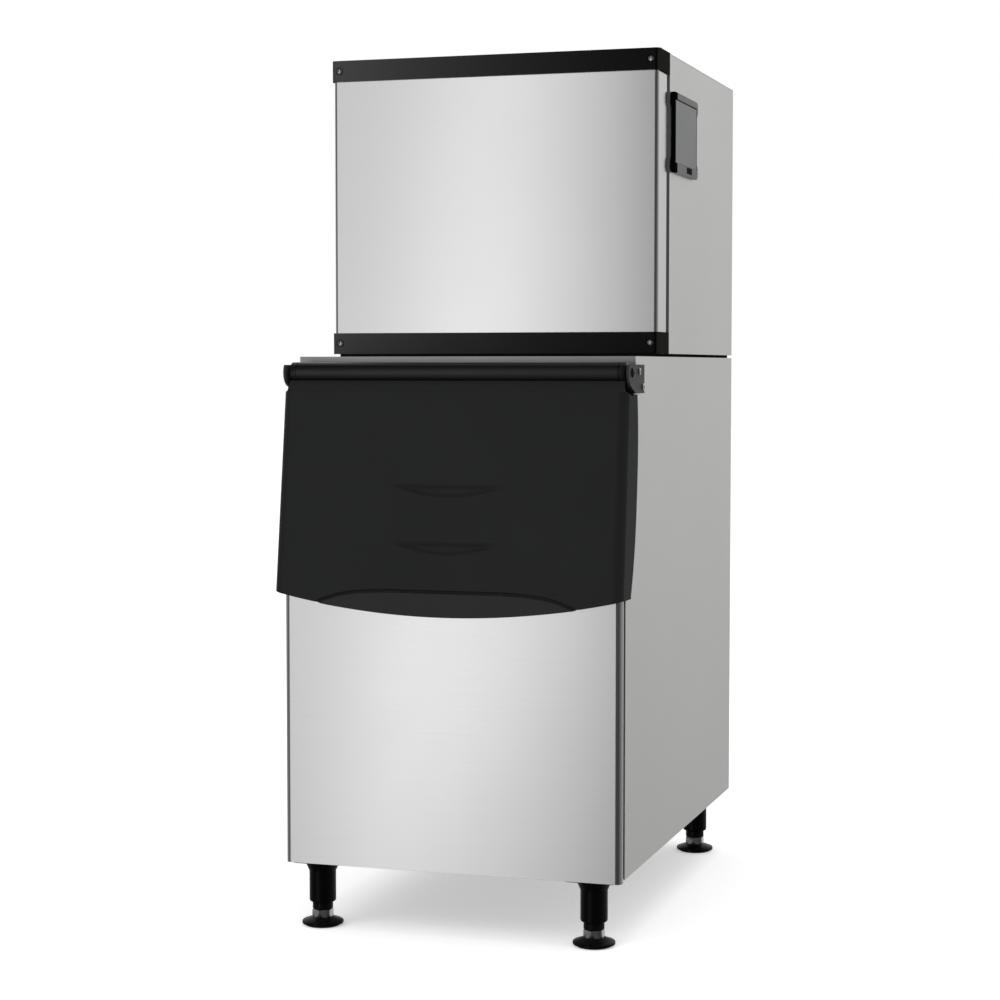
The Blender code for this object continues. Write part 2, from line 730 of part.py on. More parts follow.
def make_tub():
    """Insulated tub: open above, open at the slanted mouth, drained at the rear."""
    edge = [
        (TUB_FRONT, TUB_FLOOR),
        (TUB_REAR, TUB_FLOOR),
        (TUB_REAR, DECK_BOTTOM - CLEAR),
        (mouth_y(DECK_BOTTOM - CLEAR), DECK_BOTTOM - CLEAR),
        (TUB_FRONT, SILL_Z),
    ]
    tub = add(slab([edge], -TUB_HALF, TUB_HALF), "bin_tub", LINER_WHITE, turn=PLAIN_FLAT, rounded=False)
    plan = slab([tub_plan()], TUB_FLOOR - TUB_WALL, BIN_TOP)
    boolean(tub, add_cutter(plan, "tub_plan"), "INTERSECT")
    inside_front = TUB_FRONT + TUB_WALL
    low = (-CAVITY_HALF, inside_front, TUB_FLOOR + TUB_WALL)
    cut(tub, block(low, (CAVITY_HALF, TUB_REAR - TUB_WALL, BIN_TOP)))
    low = (-CAVITY_HALF, -MOUTH_SETBACK, SILL_Z)
    cut(tub, block(low, (CAVITY_HALF, inside_front + TUB_WALL, BIN_TOP)))
    drain = slab([drain_hole()], LEG_HEIGHT, TUB_FLOOR + 2 * TUB_WALL)
    cut(tub, drain)


def make_deck():
    """Insulated deck that closes the bin and carries the head, open where the ice drops in."""
    front = HEAD_SETBACK + DECK_OPENING_MARGIN
    edge = rectangle((-INNER_HALF, MOUTH_SETBACK), (INNER_HALF, TUB_REAR))
    hole = rectangle((-CAVITY_HALF, front), (CAVITY_HALF, front + DECK_OPENING_DEPTH))
    add(slab([edge, hole], DECK_BOTTOM, BIN_TOP), "bin_deck", SATIN_STEEL, rounded=False)


def make_mouth_frame():
    """Moulded frame on the slanted edge of the tub, which the closed door rests against."""
    length = (DECK_BOTTOM - SILL_Z) / math.cos(MOUTH_ANGLE)
    half = TUB_HALF - CLEAR
    inner = half - MOUTH_FRAME_SIDE_BAR
    top_bar = length - MOUTH_FRAME_TOP_BAR
    edge = rectangle((-half, -MOUTH_FRAME_SILL_BAR + CLEAR), (half, length - MOUTH_FRAME_THICKNESS))
    hole = rectangle((-inner, CLEAR), (inner, top_bar - MOUTH_FRAME_THICKNESS))
    mesh = slab([edge, hole], CLEAR, CLEAR + MOUTH_FRAME_THICKNESS)
    turn = (math.pi / 2 - MOUTH_ANGLE, 0, 0)
    add(mesh, "mouth_frame", BLACK_MOULDING, place=(0, TUB_FRONT, SILL_Z), turn=turn, rounded=False)


def make_baffle():
    """Folded plate inside the sill that keeps the ice back."""
    wall = TUB_FRONT + TUB_WALL + CLEAR
    low = SILL_Z - BAFFLE_BELOW_SILL
    bend = SILL_Z + BAFFLE_ABOVE_SILL
    path = [(wall, low), (wall, bend), (wall + BAFFLE_LEAN, bend + 2 * BAFFLE_LEAN)]
    back = [(y + BAFFLE_SHEET, z) for y, z in reversed(path)]
    half = CAVITY_HALF - CLEAR
    mesh = slab([path + back], -half, half)
    add(mesh, "ice_baffle", SATIN_STEEL, turn=PLAIN_FLAT, rounded=False)


def make_drain():
    """Drain fitting: a flange on the tub's floor and a tail below the bin."""
    top = TUB_FLOOR + TUB_WALL + CLEAR + DRAIN_FLANGE
    profile = [
        (DRAIN_BORE, top),
        (DRAIN_FLANGE_RADIUS, top),
        (DRAIN_FLANGE_RADIUS, top - DRAIN_FLANGE),
        (DRAIN_RADIUS, top - DRAIN_FLANGE),
        (DRAIN_RADIUS, LEG_HEIGHT - DRAIN_TAIL),
        (DRAIN_BORE, LEG_HEIGHT - DRAIN_TAIL),
    ]
    place = (0, BODY_DEPTH - DRAIN_FROM_REAR, 0)
    add(turned(profile, closed=True), "bin_drain", TRAY_GREY, place=place)


# Legs
def make_leg(side, end, x, y):
    """A flared sleeve with its mounting plate, and the levelling foot that screws into it."""
    plate_top = LEG_HEIGHT - CLEAR
    plate_low = plate_top - LEG_PLATE
    sleeve_low = DISC_HEIGHT + HEX_HEIGHT + NECK_HEIGHT + CLEAR
    cone_low = plate_low - COLLAR_HEIGHT
    bore_top = sleeve_low + STEM_LENGTH + SPARE_BORE
    profile = [
        (0, plate_low + LEG_PLATE / 2),
        (COLLAR_RADIUS, plate_low + LEG_PLATE / 2),
        (COLLAR_RADIUS, plate_low - SLEEVE_CHAMFER),
        (SLEEVE_RADIUS, cone_low),
        (SLEEVE_RADIUS, sleeve_low + SLEEVE_CHAMFER),
        (SLEEVE_RADIUS - SLEEVE_CHAMFER, sleeve_low),
        (SLEEVE_BORE, sleeve_low),
        (SLEEVE_BORE, bore_top),
        (0, bore_top),
    ]
    place = (x, y, 0)
    sleeve = add(turned(profile), f"leg_{end}_{side}", BLACK_MOULDING, place=place)
    low = (-LEG_PLATE_WIDTH / 2, -LEG_PLATE_LENGTH / 2, plate_low)
    high = (LEG_PLATE_WIDTH / 2, LEG_PLATE_LENGTH / 2, plate_top)
    join(sleeve, block(low, high), place=place)
    make_foot(side, end, place)


def make_foot(side, end, place):
    """Levelling foot: rubber-shod disc, hexagon for the spanner, neck and stem."""
    hex_low = DISC_HEIGHT
    neck_low = hex_low + HEX_HEIGHT
    neck_top = neck_low + NECK_HEIGHT
    hex_inside = HEX_ACROSS_FLATS / 2
    profile = [
        (0, neck_top + STEM_LENGTH),
        (STEM_RADIUS, neck_top + STEM_LENGTH),
        (STEM_RADIUS, neck_top),
        (NECK_RADIUS, neck_top),
        (NECK_RADIUS, neck_low),
        (hex_inside - CLEAR, neck_low),
        (hex_inside - CLEAR, hex_low),
        (hex_inside + SLEEVE_CHAMFER, hex_low),
        (DISC_RADIUS, PAD_HEIGHT + DISC_EDGE),
        (DISC_RADIUS, PAD_HEIGHT),
        (PAD_RADIUS, PAD_HEIGHT),
        (PAD_RADIUS, 0),
        (0, 0),
    ]
    foot = add(turned(profile), f"foot_{end}_{side}", BLACK_GLOSS, place=place)
    corner = hex_inside / math.cos(math.pi / 6)
    overlap = CLEAR
    join(foot, rod(corner, hex_low - overlap, neck_low + overlap, 6), place=place)


def make_legs():
    rear = BODY_DEPTH - REAR_LEG_FROM_REAR
    for side, x in (("left", -LEG_X), ("right", LEG_X)):
        for end, y in (("front", FRONT_LEG_Y), ("rear", rear)):
            make_leg(side, end, x, y)


# Door
def pull_bottom(x):
    """Lower edge of the door: an arc between its corners."""
    share = min(abs(x) / DOOR_TOP_HALF, 1)
    return DOOR_CORNER_Z - DOOR_ARC_DROP * (1 - share**2)


def dimple(x, z):
    """Depth of the two crescent finger marks: a straight upper edge and a curved lower one."""
    for half, above in zip(DIMPLE_HALF_WIDTHS, DIMPLES_ABOVE_CORNER):
        top = DOOR_CORNER_Z + above
        height = DIMPLE_HEIGHT * (1 - (x / half) ** 2)
        if abs(x) < half and top - height < z < top:
            return DIMPLE_DEPTH * (z - top + height) / DIMPLE_HEIGHT
    return 0


def pull(x, z):
    """Depth of the finger pull: a lens with a groove along its top, flared out at the lower edge."""
    top = DOOR_CORNER_Z + PULL_RISE
    side = 1 - (x / PULL_HALF_WIDTH) ** 2
    if z >= top or side <= 0:
        return 0
    share = (top - z) / (top - pull_bottom(x))
    return min(side * 4, 1) * (PULL_GROOVE * (1 - share) - PULL_FLARE * share)


def door_heights():
    """Heights of the door's sections, close together where the finger marks start."""
    heights = [DOOR_TOP_Z]
    for above in DIMPLES_ABOVE_CORNER:
        top = DOOR_CORNER_Z + above
        heights += spread(heights[-1], top, 4)[1:]
        heights += spread(top - DIMPLE_DEPTH / 2, top - DIMPLE_HEIGHT, 4)
    heights += spread(heights[-1], DOOR_CORNER_Z + PULL_RISE, 3)[1:]
    return heights


def spread(start, end, steps):
    return [start + (end - start) * step / steps for step in range(steps + 1)]


def door_section(level, drop):
    """One section of the door, from the rear of its left wall to the rear of its right wall.

    level is the height of the section. drop runs from 0 to 1 over the arched lower edge.
    """
    share = (DOOR_TOP_Z - level) / (DOOR_TOP_Z - DOOR_CORNER_Z)
    half = DOOR_TOP_HALF + DOOR_FLARE * share
    end = DOOR_SIDE_DEPTH_TOP if share < 0.5 else DOOR_SIDE_DEPTH_BOTTOM
    depth = DOOR_SIDE_DEPTH_MIDDLE + (end - DOOR_SIDE_DEPTH_MIDDLE) * abs(2 * share - 1) ** 2.5
    front = door_front_y(level)
    points = []
    for x, back in door_plan(half, 0, depth):
        z = level + drop * (pull_bottom(x) - level)
        lean = door_front_y(z) - front
        relief = dimple(x, z) + pull(x, z) if back == 0 else 0
        points.append((x, front + lean + back + relief, z))
    return points


def door_plan(half, front, depth):
    """Plan of the door: side wall, rounded corner, front, rounded corner, side wall."""
    plan = wrap(half, front, front + depth, DOOR_CORNER_RADIUS, 4)
    middle = len(plan) // 2
    left = plan[middle - 1][0]
    front_points = [(x, front) for x in spread(left, -left, 22)[1:-1]]
    side = [(-half, front + depth), (-half, front + (depth + DOOR_CORNER_RADIUS) / 2)]
    other = [(-x, y) for x, y in reversed(side)]
    return side + plan[1:middle] + front_points + plan[middle:-1] + other


def door_skin():
    """The door's outer surface: sections lofted from the top to the arched lower edge."""
    rows = [door_section(level, 0) for level in door_heights()]
    last = door_heights()[-1]
    rows += [door_section(last, drop) for drop in (0.02, 0.3, 0.6, 0.85, 1)]
    shape = bmesh.new()
    grid = [[shape.verts.new(point) for point in row] for row in rows]
    for upper, lower in zip(grid, grid[1:]):
        for column in range(len(upper) - 1):
            corners = (lower[column], lower[column + 1], upper[column + 1], upper[column])
            shape.faces.new(corners)
    flat = bpy.data.meshes.new("door_skin")
    shape.to_mesh(flat)
    shape.free()
    return thickened(flat, DOOR_WALL)


def make_door(hinge):
    """Moulded door: skin, hinge roll along its top and the web between them."""
    door = add(door_skin(), "door_shell", BLACK_MOULDING, carrier=hinge)
    pin = (0, PIN_Y, PIN_Z)
    web = [
        (DOOR_TOP_Y, DOOR_TOP_Z - DOOR_WALL),
        (DOOR_TOP_Y, DOOR_TOP_Z),
        (PIN_Y - ROLL_RADIUS * 0.6, PIN_Z - ROLL_RADIUS * 0.5),
        (PIN_Y - ROLL_RADIUS * 0.3, PIN_Z - ROLL_RADIUS * 0.85),
        (DOOR_TOP_Y + DOOR_WALL, DOOR_TOP_Z - DOOR_WALL),
    ]
    web_half = ROLL_HALF - CLEAR
    join(door, slab([web], -web_half, web_half), turn=PLAIN_FLAT)
    join(door, rod(ROLL_RADIUS, -ROLL_HALF, ROLL_HALF, 28), place=pin, turn=ALONG_X)
    reach = DOOR_TOP_HALF + DOOR_FLARE
    bore = PIN_RADIUS + PIN_CLEARANCE
    inner = ROLL_HALF - PIN_ENGAGEMENT - CLEAR
    for sign in (-1, 1):
        notch = sorted((sign * (ROLL_HALF + CLEAR), sign * reach * 1.1))
        cut(door, rod(DOOR_NOTCH_RADIUS, *notch, 40), place=pin, turn=ALONG_X)
        low = (notch[0], PIN_Y, PIN_Z - BRACKET_DROP - BRACKET_CLEARANCE)
        cut(door, block(low, (notch[1], PIN_Y + 2 * BRACKET_REAR, PIN_Z + BRACKET_DROP)))
        hole = sorted((sign * inner, sign * reach))
        cut(door, rod(bore, *hole, 16), place=pin, turn=ALONG_X)


def tray_outline(wall):
    """Side view of the inner tray, between the door's skin and the mouth frame."""
    top = PIN_Z - TRAY_BELOW_PIN - wall
    low = SILL_Z + TRAY_ABOVE_SILL + wall
    skin = DOOR_WALL + CLEAR
    seat = (MOUTH_FRAME_THICKNESS + 2 * CLEAR + wall) / math.cos(MOUTH_ANGLE)
    return [
        (door_front_y(low) + skin - 2 * wall, low),
        (mouth_y(low) - seat, low),
        (mouth_y(top) - seat, top),
        (door_front_y(top) + skin - 2 * wall, top),
    ]


def make_door_tray(hinge):
    """Inner tray of the door: its back rests on the mouth frame, its open side is on the skin."""
    mesh = slab([tray_outline(0)], -TRAY_HALF_WIDTH, TRAY_HALF_WIDTH)
    tray = add(mesh, "door_tray", TRAY_GREY, turn=PLAIN_FLAT, carrier=hinge, rounded=False)
    inner = TRAY_HALF_WIDTH - TRAY_WALL
    cut(tray, slab([tray_outline(TRAY_WALL)], -inner, inner), turn=PLAIN_FLAT)


# Hinge brackets, pins and screws
def bracket_outline():
    """Side view about the pin: round nose, cut heel, straight rear."""
    nose = [
        (y * BRACKET_NOSE, z * BRACKET_NOSE)
        for y, z in arc((0, 0), 1, 148, 240, 8)
    ]
    rest = [
        (BRACKET_HEEL, -BRACKET_DROP),
        (BRACKET_REAR, -BRACKET_DROP),
        (BRACKET_REAR, BRACKET_RISE),
    ]
    return [(PIN_Y + y, PIN_Z + z) for y, z in nose + rest]


def make_bracket(side, sign):
    """Plate on the side panel, with a boss that takes the hinge pin."""
    pin_hole = circle((PIN_Y, PIN_Z), PIN_RADIUS + PIN_CLEARANCE, 16)
    holes = [screw_hole(spot) for spot in BRACKET_SCREWS]
    faces = sorted((sign * BRACKET_IN, sign * BRACKET_OUT))
    mesh = slab([bracket_outline(), pin_hole, *holes], *faces)
    bracket = add(mesh, f"hinge_bracket_{side}", BRACKET_GREY, turn=PLAIN_FLAT, rounded=False)
    boss_out = BRACKET_IN + BRACKET_THICKNESS / 2
    boss_faces = sorted((sign * (ROLL_HALF + CLEAR), sign * boss_out))
    boss = slab([circle((PIN_Y, PIN_Z), BRACKET_BOSS_RADIUS), pin_hole], *boss_faces)
    join(bracket, boss, turn=PLAIN_FLAT)


def screw(head_radius, shank_radius, shank_length, steps=16):
    """A domed screw along its own Z, its head's seat at height 0, with a cross in the head."""
    rim = SCREW_HEAD_HEIGHT * 0.45
    profile = [
        (0, SCREW_HEAD_HEIGHT),
        (head_radius * 0.7, SCREW_HEAD_HEIGHT * 0.85),
        (head_radius, rim),
        (head_radius, 0),
        (shank_radius, 0),
        (shank_radius, -shank_length),
        (0, -shank_length),
    ]
    return turned(profile, steps)


def cross_cut(piece, head_radius, place, turn):
    """The cross in a screw's head."""
    arm = head_radius * 0.62
    width = head_radius * 0.14
    low = SCREW_HEAD_HEIGHT * 0.4
    high = SCREW_HEAD_HEIGHT * 2
    across = block((-arm, -width, low), (arm, width, high))
    along = block((-width, -arm, low), (width, arm, high))
    cut(piece, across, place, turn)
    cut(piece, along, place, turn)


def facing_side(sign):
    """Turn that points a piece's own Z out of the left or right side."""
    return (0, sign * math.pi / 2, 0)


def make_hinge_fixings(side, sign):
    """Hinge pin and the two screws of one bracket."""
    seat = sign * (BRACKET_OUT + CLEAR)
    turn = facing_side(sign)
    length = BRACKET_OUT + CLEAR - ROLL_HALF + PIN_ENGAGEMENT
    place = (seat, PIN_Y, PIN_Z)
    pin = add(screw(PIN_HEAD_RADIUS, PIN_RADIUS, length), f"hinge_pin_{side}", BRIGHT_STEEL, place, turn)
    cross_cut(pin, PIN_HEAD_RADIUS, place, turn)
    shank = BRACKET_OUT + CLEAR - TUB_HALF - CLEAR
    for label, spot in zip(("upper", "lower"), BRACKET_SCREWS):
        place = (seat, PIN_Y + spot[0], PIN_Z + spot[1])
        mesh = screw(BRACKET_SCREW_HEAD, BRACKET_SCREW_SHANK, shank)
        piece = add(mesh, f"bracket_screw_{label}_{side}", BRIGHT_STEEL, place, turn)
        cross_cut(piece, BRACKET_SCREW_HEAD, place, turn)


# Head casing
def make_head_front():
    """Front panel of the head, folded round its corners, drilled behind the trims."""
    path = wrap(FRONT_HALF, HEAD_SETBACK, HEAD_SETBACK + HEAD_RETURN, HEAD_CORNER)
    top = HEAD_TOP - SHEET - CLEAR
    panel = add(folded(path, HEAD_BOTTOM, top, SHEET), "head_front_panel", SATIN_STEEL)
    for x, z in trim_screw_spots():
        drill = rod(TRIM_SCREW_SHANK + CLEAR, -HEAD_CORNER, HEAD_CORNER, 12)
        cut(panel, drill, place=(x, HEAD_SETBACK, z), turn=ALONG_Y)


def trim_screw_spots():
    side = HALF_WIDTH + TRIM_PROUD - TRIM_SCREW_FROM_SIDE
    low = HEAD_BOTTOM + TRIM_HEIGHT / 2
    high = HEAD_TOP - TRIM_HEIGHT / 2
    return [(x, z) for z in (high, low) for x in (-side, side)]


def make_trim(name, low):
    """Black trim that wraps the front of the head, with recesses for its two screws."""
    front = HEAD_SETBACK - CLEAR - TRIM_WALL
    path = wrap(HALF_WIDTH + TRIM_PROUD, front, front + TRIM_RETURN, TRIM_CORNER)
    trim = add(folded(path, low, low + TRIM_HEIGHT, TRIM_WALL), name, BLACK_GLOSS)
    for x, z in trim_screw_spots():
        if low < z < low + TRIM_HEIGHT:
            place = (x, front, z)
            drill = rod(TRIM_SCREW_SHANK + CLEAR, -TRIM_WALL, 2 * TRIM_WALL, 12)
            cut(trim, drill, place=place, turn=ALONG_Y)
            recess = rod(TRIM_RECESS_RADIUS, -TRIM_WALL, TRIM_RECESS_DEPTH)
            cut(trim, recess, place=place, turn=ALONG_Y)


def make_trim_screws():
    seat = HEAD_SETBACK - CLEAR - TRIM_WALL + TRIM_RECESS_DEPTH - CLEAR
    length = TRIM_WALL - TRIM_RECESS_DEPTH + 2 * CLEAR + SHEET
    names = ("top_left", "top_right", "bottom_left", "bottom_right")
    for name, (x, z) in zip(names, trim_screw_spots()):
        place = (x, seat, z)
        mesh = screw(TRIM_SCREW_HEAD, TRIM_SCREW_SHANK, length)
        piece = add(mesh, f"trim_screw_{name}", BRIGHT_STEEL, place, FACING_FRONT)
        cross_cut(piece, TRIM_SCREW_HEAD, place, FACING_FRONT)


def make_head_sides():
    """Side panels, stepped inwards at the front to leave the dark channel beside the front panel."""
    step = HEAD_SETBACK + TRIM_RETURN
    shallow = HALF_WIDTH - CHANNEL_DEPTH
    front = step - CHANNEL_WIDTH
    path = [
        (shallow, front),
        (shallow, step),
        (HALF_WIDTH, step + CHANNEL_DEPTH / 3),
        (HALF_WIDTH, BODY_DEPTH),
    ]
    top = HEAD_TOP - SHEET - CLEAR
    right = folded(path, HEAD_BOTTOM, top, SHEET)
    panel = add(right, "head_side_right", SIDE_STEEL, rounded=False)
    low = (INNER_HALF - CHANNEL_DEPTH, HATCH_Y - WINDOW_WIDTH / 2, HATCH_Z - WINDOW_HEIGHT / 2)
    high = (HALF_WIDTH + CHANNEL_DEPTH, HATCH_Y + WINDOW_WIDTH / 2, HATCH_Z + WINDOW_HEIGHT / 2)
    cut(panel, block(low, high))
    mirrored = [(-x, y) for x, y in reversed(path)]
    left = folded(mirrored, HEAD_BOTTOM, top, SHEET)
    add(left, "head_side_left", SIDE_STEEL, rounded=False)


def make_head_top():
    """Top panel, narrower between the returns of the top trim."""
    narrow = HALF_WIDTH + TRIM_PROUD - TRIM_WALL - CLEAR
    step = HEAD_SETBACK + TRIM_RETURN
    rear = [
        (HALF_WIDTH, step),
        (HALF_WIDTH, BODY_DEPTH),
        (-HALF_WIDTH, BODY_DEPTH),
        (-HALF_WIDTH, step),
    ]
    edge = wrap(narrow, HEAD_SETBACK, step, TRIM_CORNER - TRIM_WALL - CLEAR) + rear
    add(slab([edge], HEAD_TOP - SHEET, HEAD_TOP), "head_top_panel", SIDE_STEEL, rounded=False)


def make_head_rear():
    """Rear panel: louvre slots behind the fan, holes for the water valve and the power gland."""
    top = HEAD_TOP - SHEET - CLEAR
    edge = rectangle((-INNER_HALF, HEAD_BOTTOM), (INNER_HALF, top))
    first = FAN_Z - LOUVRE_PITCH * (LOUVRE_COUNT - 1) / 2
    slots = [
        around((CONDENSER_X, first + LOUVRE_PITCH * index), LOUVRE_LENGTH, LOUVRE_HEIGHT)
        for index in range(LOUVRE_COUNT)
    ]
    valve = circle((VALVE_X, VALVE_Z), VALVE_SPIGOT + CLEAR)
    gland = circle((GLAND_X, GLAND_Z), GLAND_RADIUS - 2 * SHEET + CLEAR)
    mesh = slab([edge, valve, gland, *slots], 0, SHEET)
    place = (0, BODY_DEPTH, 0)
    add(mesh, "head_rear_panel", REAR_STEEL, place, FACING_FRONT, rounded=False)


def make_base_tray():
    """Moulded base of the head, with a rim and the opening that the ice drops through."""
    corner = PANEL_CORNER - SHEET - CLEAR
    edge = wrap(BASE_TRAY_HALF, BASE_TRAY_FRONT, HEAD_REAR_IN, corner)
    mesh = slab([edge], BASE_TRAY_Z, BASE_TRAY_Z + BASE_TRAY_RIM)
    tray = add(mesh, "head_base_tray", BLACK_MOULDING, rounded=False)
    wall = BASE_TRAY_WALL
    edge = wrap(BASE_TRAY_HALF - wall, BASE_TRAY_FRONT + wall, HEAD_REAR_IN - wall, corner - wall)
    floor = BASE_TRAY_Z + BASE_TRAY_FLOOR
    cut(tray, slab([edge], floor, floor + 2 * BASE_TRAY_RIM))
    front = HEAD_SETBACK + DROP_FROM_FRONT
    low = (DROP_LEFT, front, BASE_TRAY_Z - BASE_TRAY_RIM)
    cut(tray, block(low, (DROP_RIGHT, front + DROP_DEPTH, floor + BASE_TRAY_FLOOR)))


def make_divider():
    """Wall between the ice side and the machine side, pierced for the suction line."""
    front = BASE_TRAY_FRONT + BASE_TRAY_WALL + CLEAR
    back = HEAD_REAR_IN - BASE_TRAY_WALL - CLEAR
    edge = rectangle((front, FLOOR_Z), (back, HEAD_TOP - DIVIDER_BELOW_TOP))
    hole = circle((suction_y(), suction_z()), PIPE_RADIUS + CLEAR, 16)
    mesh = slab([edge, hole], DIVIDER_X - DIVIDER_SHEET, DIVIDER_X)
    add(mesh, "divider_wall", REAR_STEEL, turn=PLAIN_FLAT, rounded=False)


# Side hatch
def hatch_outline():
    """Edge of the bezel: wide strips above and below, and a narrower waist between them."""
    wide = HATCH_WIDTH / 2
    waist = HATCH_WAIST / 2
    high = HATCH_HEIGHT / 2
    strip = high - HATCH_LOBE
    round_in = HATCH_CORNER
    right = [
        *arc((wide - round_in, -high + round_in), round_in, 270, 360, 4),
        (wide, -strip - (wide - waist)),
        (waist, -strip),
        (waist, strip),
        (wide, strip + (wide - waist)),
        *arc((wide - round_in, high - round_in), round_in, 0, 90, 4),
    ]
    left = [(-y, z) for y, z in reversed(right)]
    return [(HATCH_Y + y, HATCH_Z + z) for y, z in right + left]


def flap_heights():
    """Top and bottom of the flap, between the bezel's two strips."""
    half = HATCH_HEIGHT / 2
    return HATCH_Z + half - FLAP_BELOW_TOP, HATCH_Z - half + FLAP_ABOVE_LOW


def flap_axis():
    """Place of the flap's hinge axis, in x and z."""
    top, _ = flap_heights()
    return HATCH_OUT - FLAP_THICKNESS / 2 - CLEAR, top - FLAP_THICKNESS


def latch_place():
    """Middle of the latch's outer face, just below the flap and behind the hatch's middle."""
    _, low = flap_heights()
    z = low - LATCH_WALL - CLEAR - LATCH_HEIGHT / 2
    return HATCH_OUT + LATCH_PROUD, HATCH_Y + LATCH_BACK, z


def make_bezel():
    """Black bezel on the side panel, with a rebate for the flap, a window and the latch hole."""
    outline = hatch_outline()
    bezel = add(slab([outline], HATCH_IN, HATCH_OUT), "hatch_bezel", BLACK_GLOSS, turn=PLAIN_FLAT)
    edge = bezel.modifiers.new("edge", "BEVEL")
    edge.width = HATCH_EDGE
    edge.segments = 3
    edge.limit_method = "ANGLE"
    edge.angle_limit = math.radians(60)
    top, low = flap_heights()
    half = FLAP_WIDTH / 2 + CLEAR
    rebate_floor = HATCH_OUT - FLAP_THICKNESS - 3 * CLEAR
    start = (rebate_floor, HATCH_Y - half, low)
    cut(bezel, block(start, (HATCH_OUT + HATCH_PROUD, HATCH_Y + half, top)))
    half = WINDOW_WIDTH / 2
    start = (HALF_WIDTH - HATCH_PROUD, HATCH_Y - half, HATCH_Z - WINDOW_HEIGHT / 2)
    end = (HATCH_OUT + HATCH_PROUD, HATCH_Y + half, HATCH_Z + WINDOW_HEIGHT / 2)
    cut(bezel, block(start, end))
    half = LATCH_WIDTH / 2 + CLEAR
    high = LATCH_HEIGHT / 2 + CLEAR
    _, y, z = latch_place()
    start = (HALF_WIDTH - HATCH_PROUD, y - half, z - high)
    end = (HATCH_OUT + HATCH_PROUD, y + half, z + high)
    cut(bezel, block(start, end))
    x, z = flap_axis()
    reach = FLAP_WIDTH / 2 + FLAP_PIN_LENGTH + 2 * CLEAR
    socket = rod(FLAP_PIN_RADIUS + CLEAR, -reach, reach, 12)
    cut(bezel, socket, place=(x, HATCH_Y, z), turn=ALONG_Y)


def make_flap(hinge):
    """Flap over the window, round at its hinge edge, with a pin at each end."""
    x, z = flap_axis()
    _, low = flap_heights()
    half = FLAP_THICKNESS / 2
    top = [(-sideways, up) for sideways, up in arc((0, 0), half, 0, 180, 6)]
    outline = [*top, (half, low + CLEAR - z), (-half, low + CLEAR - z)]
    mesh = slab([outline], -FLAP_WIDTH / 2, FLAP_WIDTH / 2)
    place = (x, HATCH_Y, z)
    flap = add(mesh, "hatch_flap", HATCH_GREY, place, FACING_FRONT, hinge)
    reach = FLAP_WIDTH / 2 + FLAP_PIN_LENGTH
    join(flap, rod(FLAP_PIN_RADIUS, -reach, reach, 12), place=place, turn=ALONG_Y)


def make_latch(slide):
    """Press latch in the lower strip, with room behind it for its travel."""
    half = LATCH_WIDTH / 2
    high = LATCH_HEIGHT / 2
    depth = HATCH_PROUD + LATCH_PROUD - LATCH_ROOM
    mesh = block((-depth, -half, -high), (0, half, high))
    latch = add(mesh, "hatch_latch", BLACK_MOULDING, latch_place(), carrier=slide)
    edge = latch.modifiers.new("edge", "BEVEL")
    edge.width = CLEAR
    edge.segments = 1


def pocket_size():
    """Half width and half height of the pocket, outside its walls."""
    return WINDOW_WIDTH / 2 - CLEAR, WINDOW_HEIGHT / 2 - CLEAR


def rocker_place():
    half, _ = pocket_size()
    floor = INNER_HALF - POCKET_DEPTH + POCKET_WALL
    return floor, HATCH_Y - half + ROCKER_FROM_POCKET_END, HATCH_Z


def make_pocket():
    """Control pocket behind the window: flange, walls, raised display and the rocker's hole."""
    half, high = pocket_size()
    floor = INNER_HALF - POCKET_DEPTH
    low = (floor, HATCH_Y - half, HATCH_Z - high)
    box = block(low, (INNER_HALF, HATCH_Y + half, HATCH_Z + high))
    pocket = add(box, "control_pocket", TRAY_GREY, rounded=False)
    wide = half + POCKET_FLANGE
    tall = high + POCKET_FLANGE
    low = (INNER_HALF - POCKET_WALL, HATCH_Y - wide, HATCH_Z - tall)
    join(pocket, block(low, (INNER_HALF, HATCH_Y + wide, HATCH_Z + tall)))
    inner = half - POCKET_WALL
    inner_high = high - POCKET_WALL
    low = (floor + POCKET_WALL, HATCH_Y - inner, HATCH_Z - inner_high)
    cut(pocket, block(low, (INNER_HALF + POCKET_DEPTH, HATCH_Y + inner, HATCH_Z + inner_high)))
    _, y, z = rocker_place()
    side = ROCKER_WIDTH / 2 + CLEAR
    end = ROCKER_HALF_LENGTH + 4 * CLEAR
    low = (floor - POCKET_WALL, y - side, z - end)
    cut(pocket, block(low, (floor + 2 * POCKET_WALL, y + side, z + end)))
    centre = HATCH_Y + half - ROCKER_FROM_POCKET_END - DISPLAY_WIDTH / 4
    low = (floor + POCKET_WALL / 2, centre - DISPLAY_WIDTH / 2, HATCH_Z - DISPLAY_HEIGHT / 2)
    high_corner = (floor + 2 * POCKET_WALL, centre + DISPLAY_WIDTH / 2, HATCH_Z + DISPLAY_HEIGHT / 2)
    join(pocket, block(low, high_corner))


def make_rocker(hinge):
    """Rocker switch, tilted to its off side."""
    length = ROCKER_HALF_LENGTH
    outline = [
        (-ROCKER_RISE, -length * 0.6),
        (ROCKER_RISE, -length),
        (ROCKER_RISE * 0.5, 0),
        (ROCKER_RISE, length),
        (-ROCKER_RISE, length * 0.6),
    ]
    mesh = slab([outline], -ROCKER_WIDTH / 2, ROCKER_WIDTH / 2)
    turn = (math.pi / 2, -ROCKER_TILT, 0)
    add(mesh, "power_rocker", BLACK_GLOSS, rocker_place(), turn, hinge, rounded=False)


